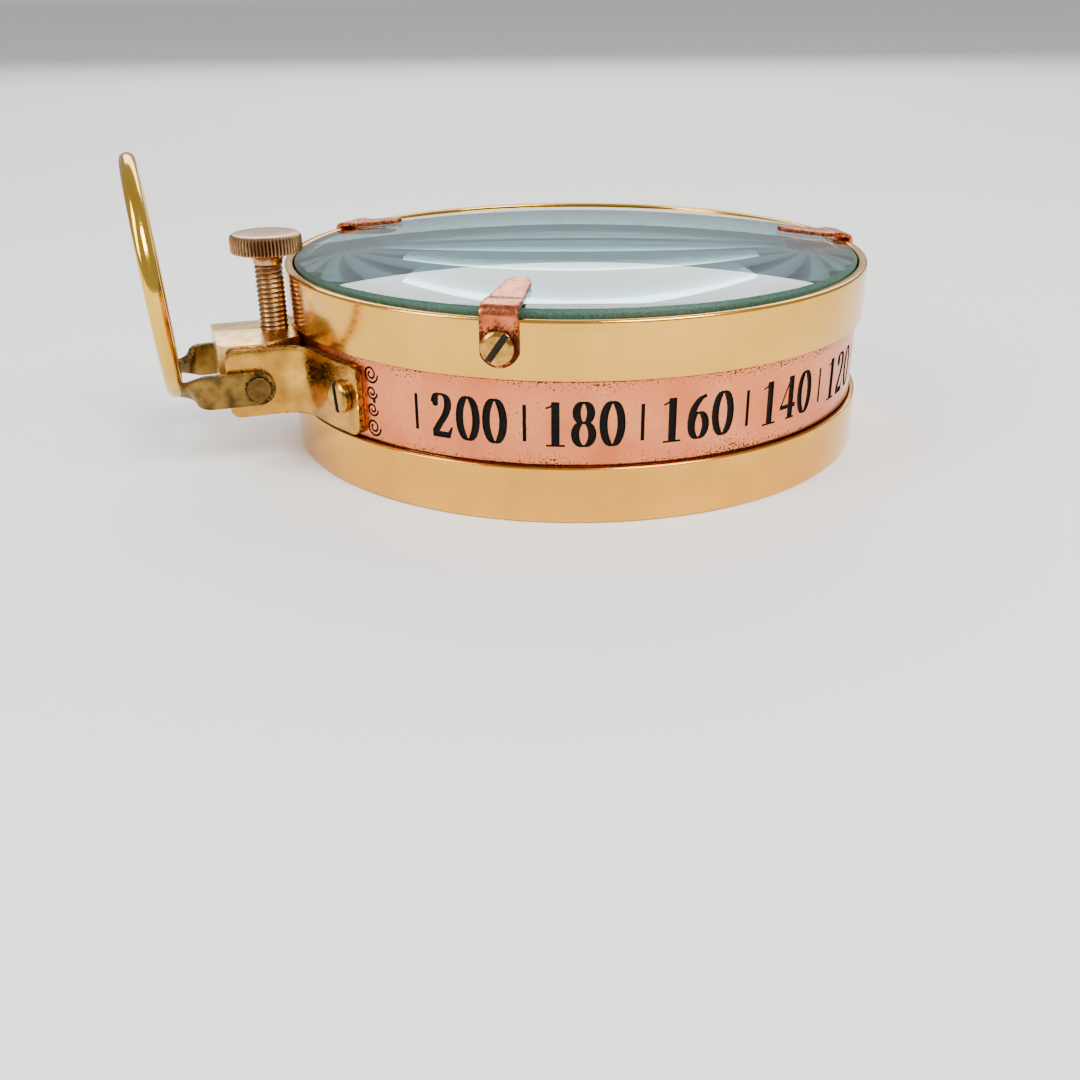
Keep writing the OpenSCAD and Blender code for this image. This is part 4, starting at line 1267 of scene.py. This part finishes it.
# ---------------------------------------------------------------------------
# Cup jewel: a polished red garnet with a small hollow. It is set in the cap and rides on the point.
garnet, _, shader, _ = mottled("garnet", 0.5, (linear("#7d0f1b"), linear("#a8182a")), 0.06, 2.0)
shader.inputs["IOR"].default_value = 1.76
jewel = softened_copy("cup_jewel", "needle_jewel", 0.03, [garnet])
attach(jewel, "needle")
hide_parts("needle_jewel")

# ---------------------------------------------------------------------------
# Balance rider: a folded brass clip on the needle's south half. It is slid along to level the needle.
rider = softened_copy("brass_balance_rider", "needle_rider", 0.05, [screw_brass])
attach(rider, "needle")
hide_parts("needle_rider")

# ---------------------------------------------------------------------------
# Lift collar: a turned brass sleeve round the post. The lever raises it, and it lifts the needle.
collar = softened_copy("sliding_lift_collar", "lift_collar", 0.08, [screw_brass])
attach(collar, "lift_collar")
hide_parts("lift_collar")

# ---------------------------------------------------------------------------
# Lift lever: a bar cut from hard brass sheet, with filed edges. It rocks on the fulcrum pin.
lever_brass = machined_metal("filed_lever_brass", "#cfa257", "#8f6a33", 0.3, grain_mm=0.3,
                             stretch=(0.15, 1.0, 1.0))
lever = softened_copy("filed_lift_lever", "lift_lever", 0.1, [lever_brass])
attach(lever, "lift_lever")
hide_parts("lift_lever")

# ---------------------------------------------------------------------------
# Lever stand: a filed brass post with a fork on top, riveted to the base. The fulcrum pin crosses it.
stand = softened_copy("forked_lever_stand", "lever_stand", 0.12, [lever_brass])
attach(stand, "case")
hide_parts("lever_stand")

# ---------------------------------------------------------------------------
# Fulcrum pin: a short steel pin driven across the stand's fork. The lever turns on it.
fulcrum = softened_copy("steel_fulcrum_pin", "fulcrum_pin", 0.06, [hard_steel])
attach(fulcrum, "case")
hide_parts("fulcrum_pin")

# ---------------------------------------------------------------------------
# Swivel foot: a steel pad under the thumb screw. Its stem snaps into the screw's bore, so it can stay
# still on the lever while the screw turns.
foot = softened_copy("steel_swivel_foot", "screw_foot", 0.06, [hard_steel])
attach(foot, "screw_slider")
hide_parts("screw_foot")

# ---------------------------------------------------------------------------
# Floor, lights and sky.
floor_half = 20.0
floor = finish_mesh("floor", [(-floor_half, -floor_half, 0), (floor_half, -floor_half, 0),
                              (floor_half, floor_half, 0), (-floor_half, floor_half, 0)], [(0, 1, 2, 3)])
floor.location.z = -0.00002
floor_mat, _, floor_shader = new_material("pale_floor")
floor_shader.inputs["Base Color"].default_value = linear("#f7f6f3")
floor_shader.inputs["Roughness"].default_value = 0.7
floor.data.materials.append(floor_mat)

world = bpy.data.worlds.new("studio")
world.use_nodes = True
world.node_tree.nodes["Background"].inputs["Color"].default_value = linear("#f4f6f8")
world.node_tree.nodes["Background"].inputs["Strength"].default_value = 0.55
bpy.context.scene.world = world


light_aim = Vector((0, 0, 0.02))


def soft_box(name, place, width, height, power):
    """A rectangular white area light at place, in metres, turned to face light_aim."""
    data = bpy.data.lights.new(name, "AREA")
    data.shape = "RECTANGLE"
    data.size, data.size_y = width, height
    data.energy = power
    obj = bpy.data.objects.new(name, data)
    bpy.context.scene.collection.objects.link(obj)
    obj.location = place
    obj.rotation_euler = (light_aim - Vector(place)).to_track_quat("-Z", "Y").to_euler()


soft_box("key_light", (0.35, -0.45, 0.6), 0.45, 0.3, 10.0)
soft_box("fill_light", (-0.55, -0.3, 0.4), 0.25, 0.5, 4.0)
soft_box("back_light", (0.0, 0.9, 0.6), 1.2, 0.5, 9.0)

# Light crosses the thick lens by several inner reflections, so its paths may be longer than usual.
paths = bpy.context.scene.cycles
paths.max_bounces, paths.glossy_bounces, paths.transmission_bounces = 24, 16, 24
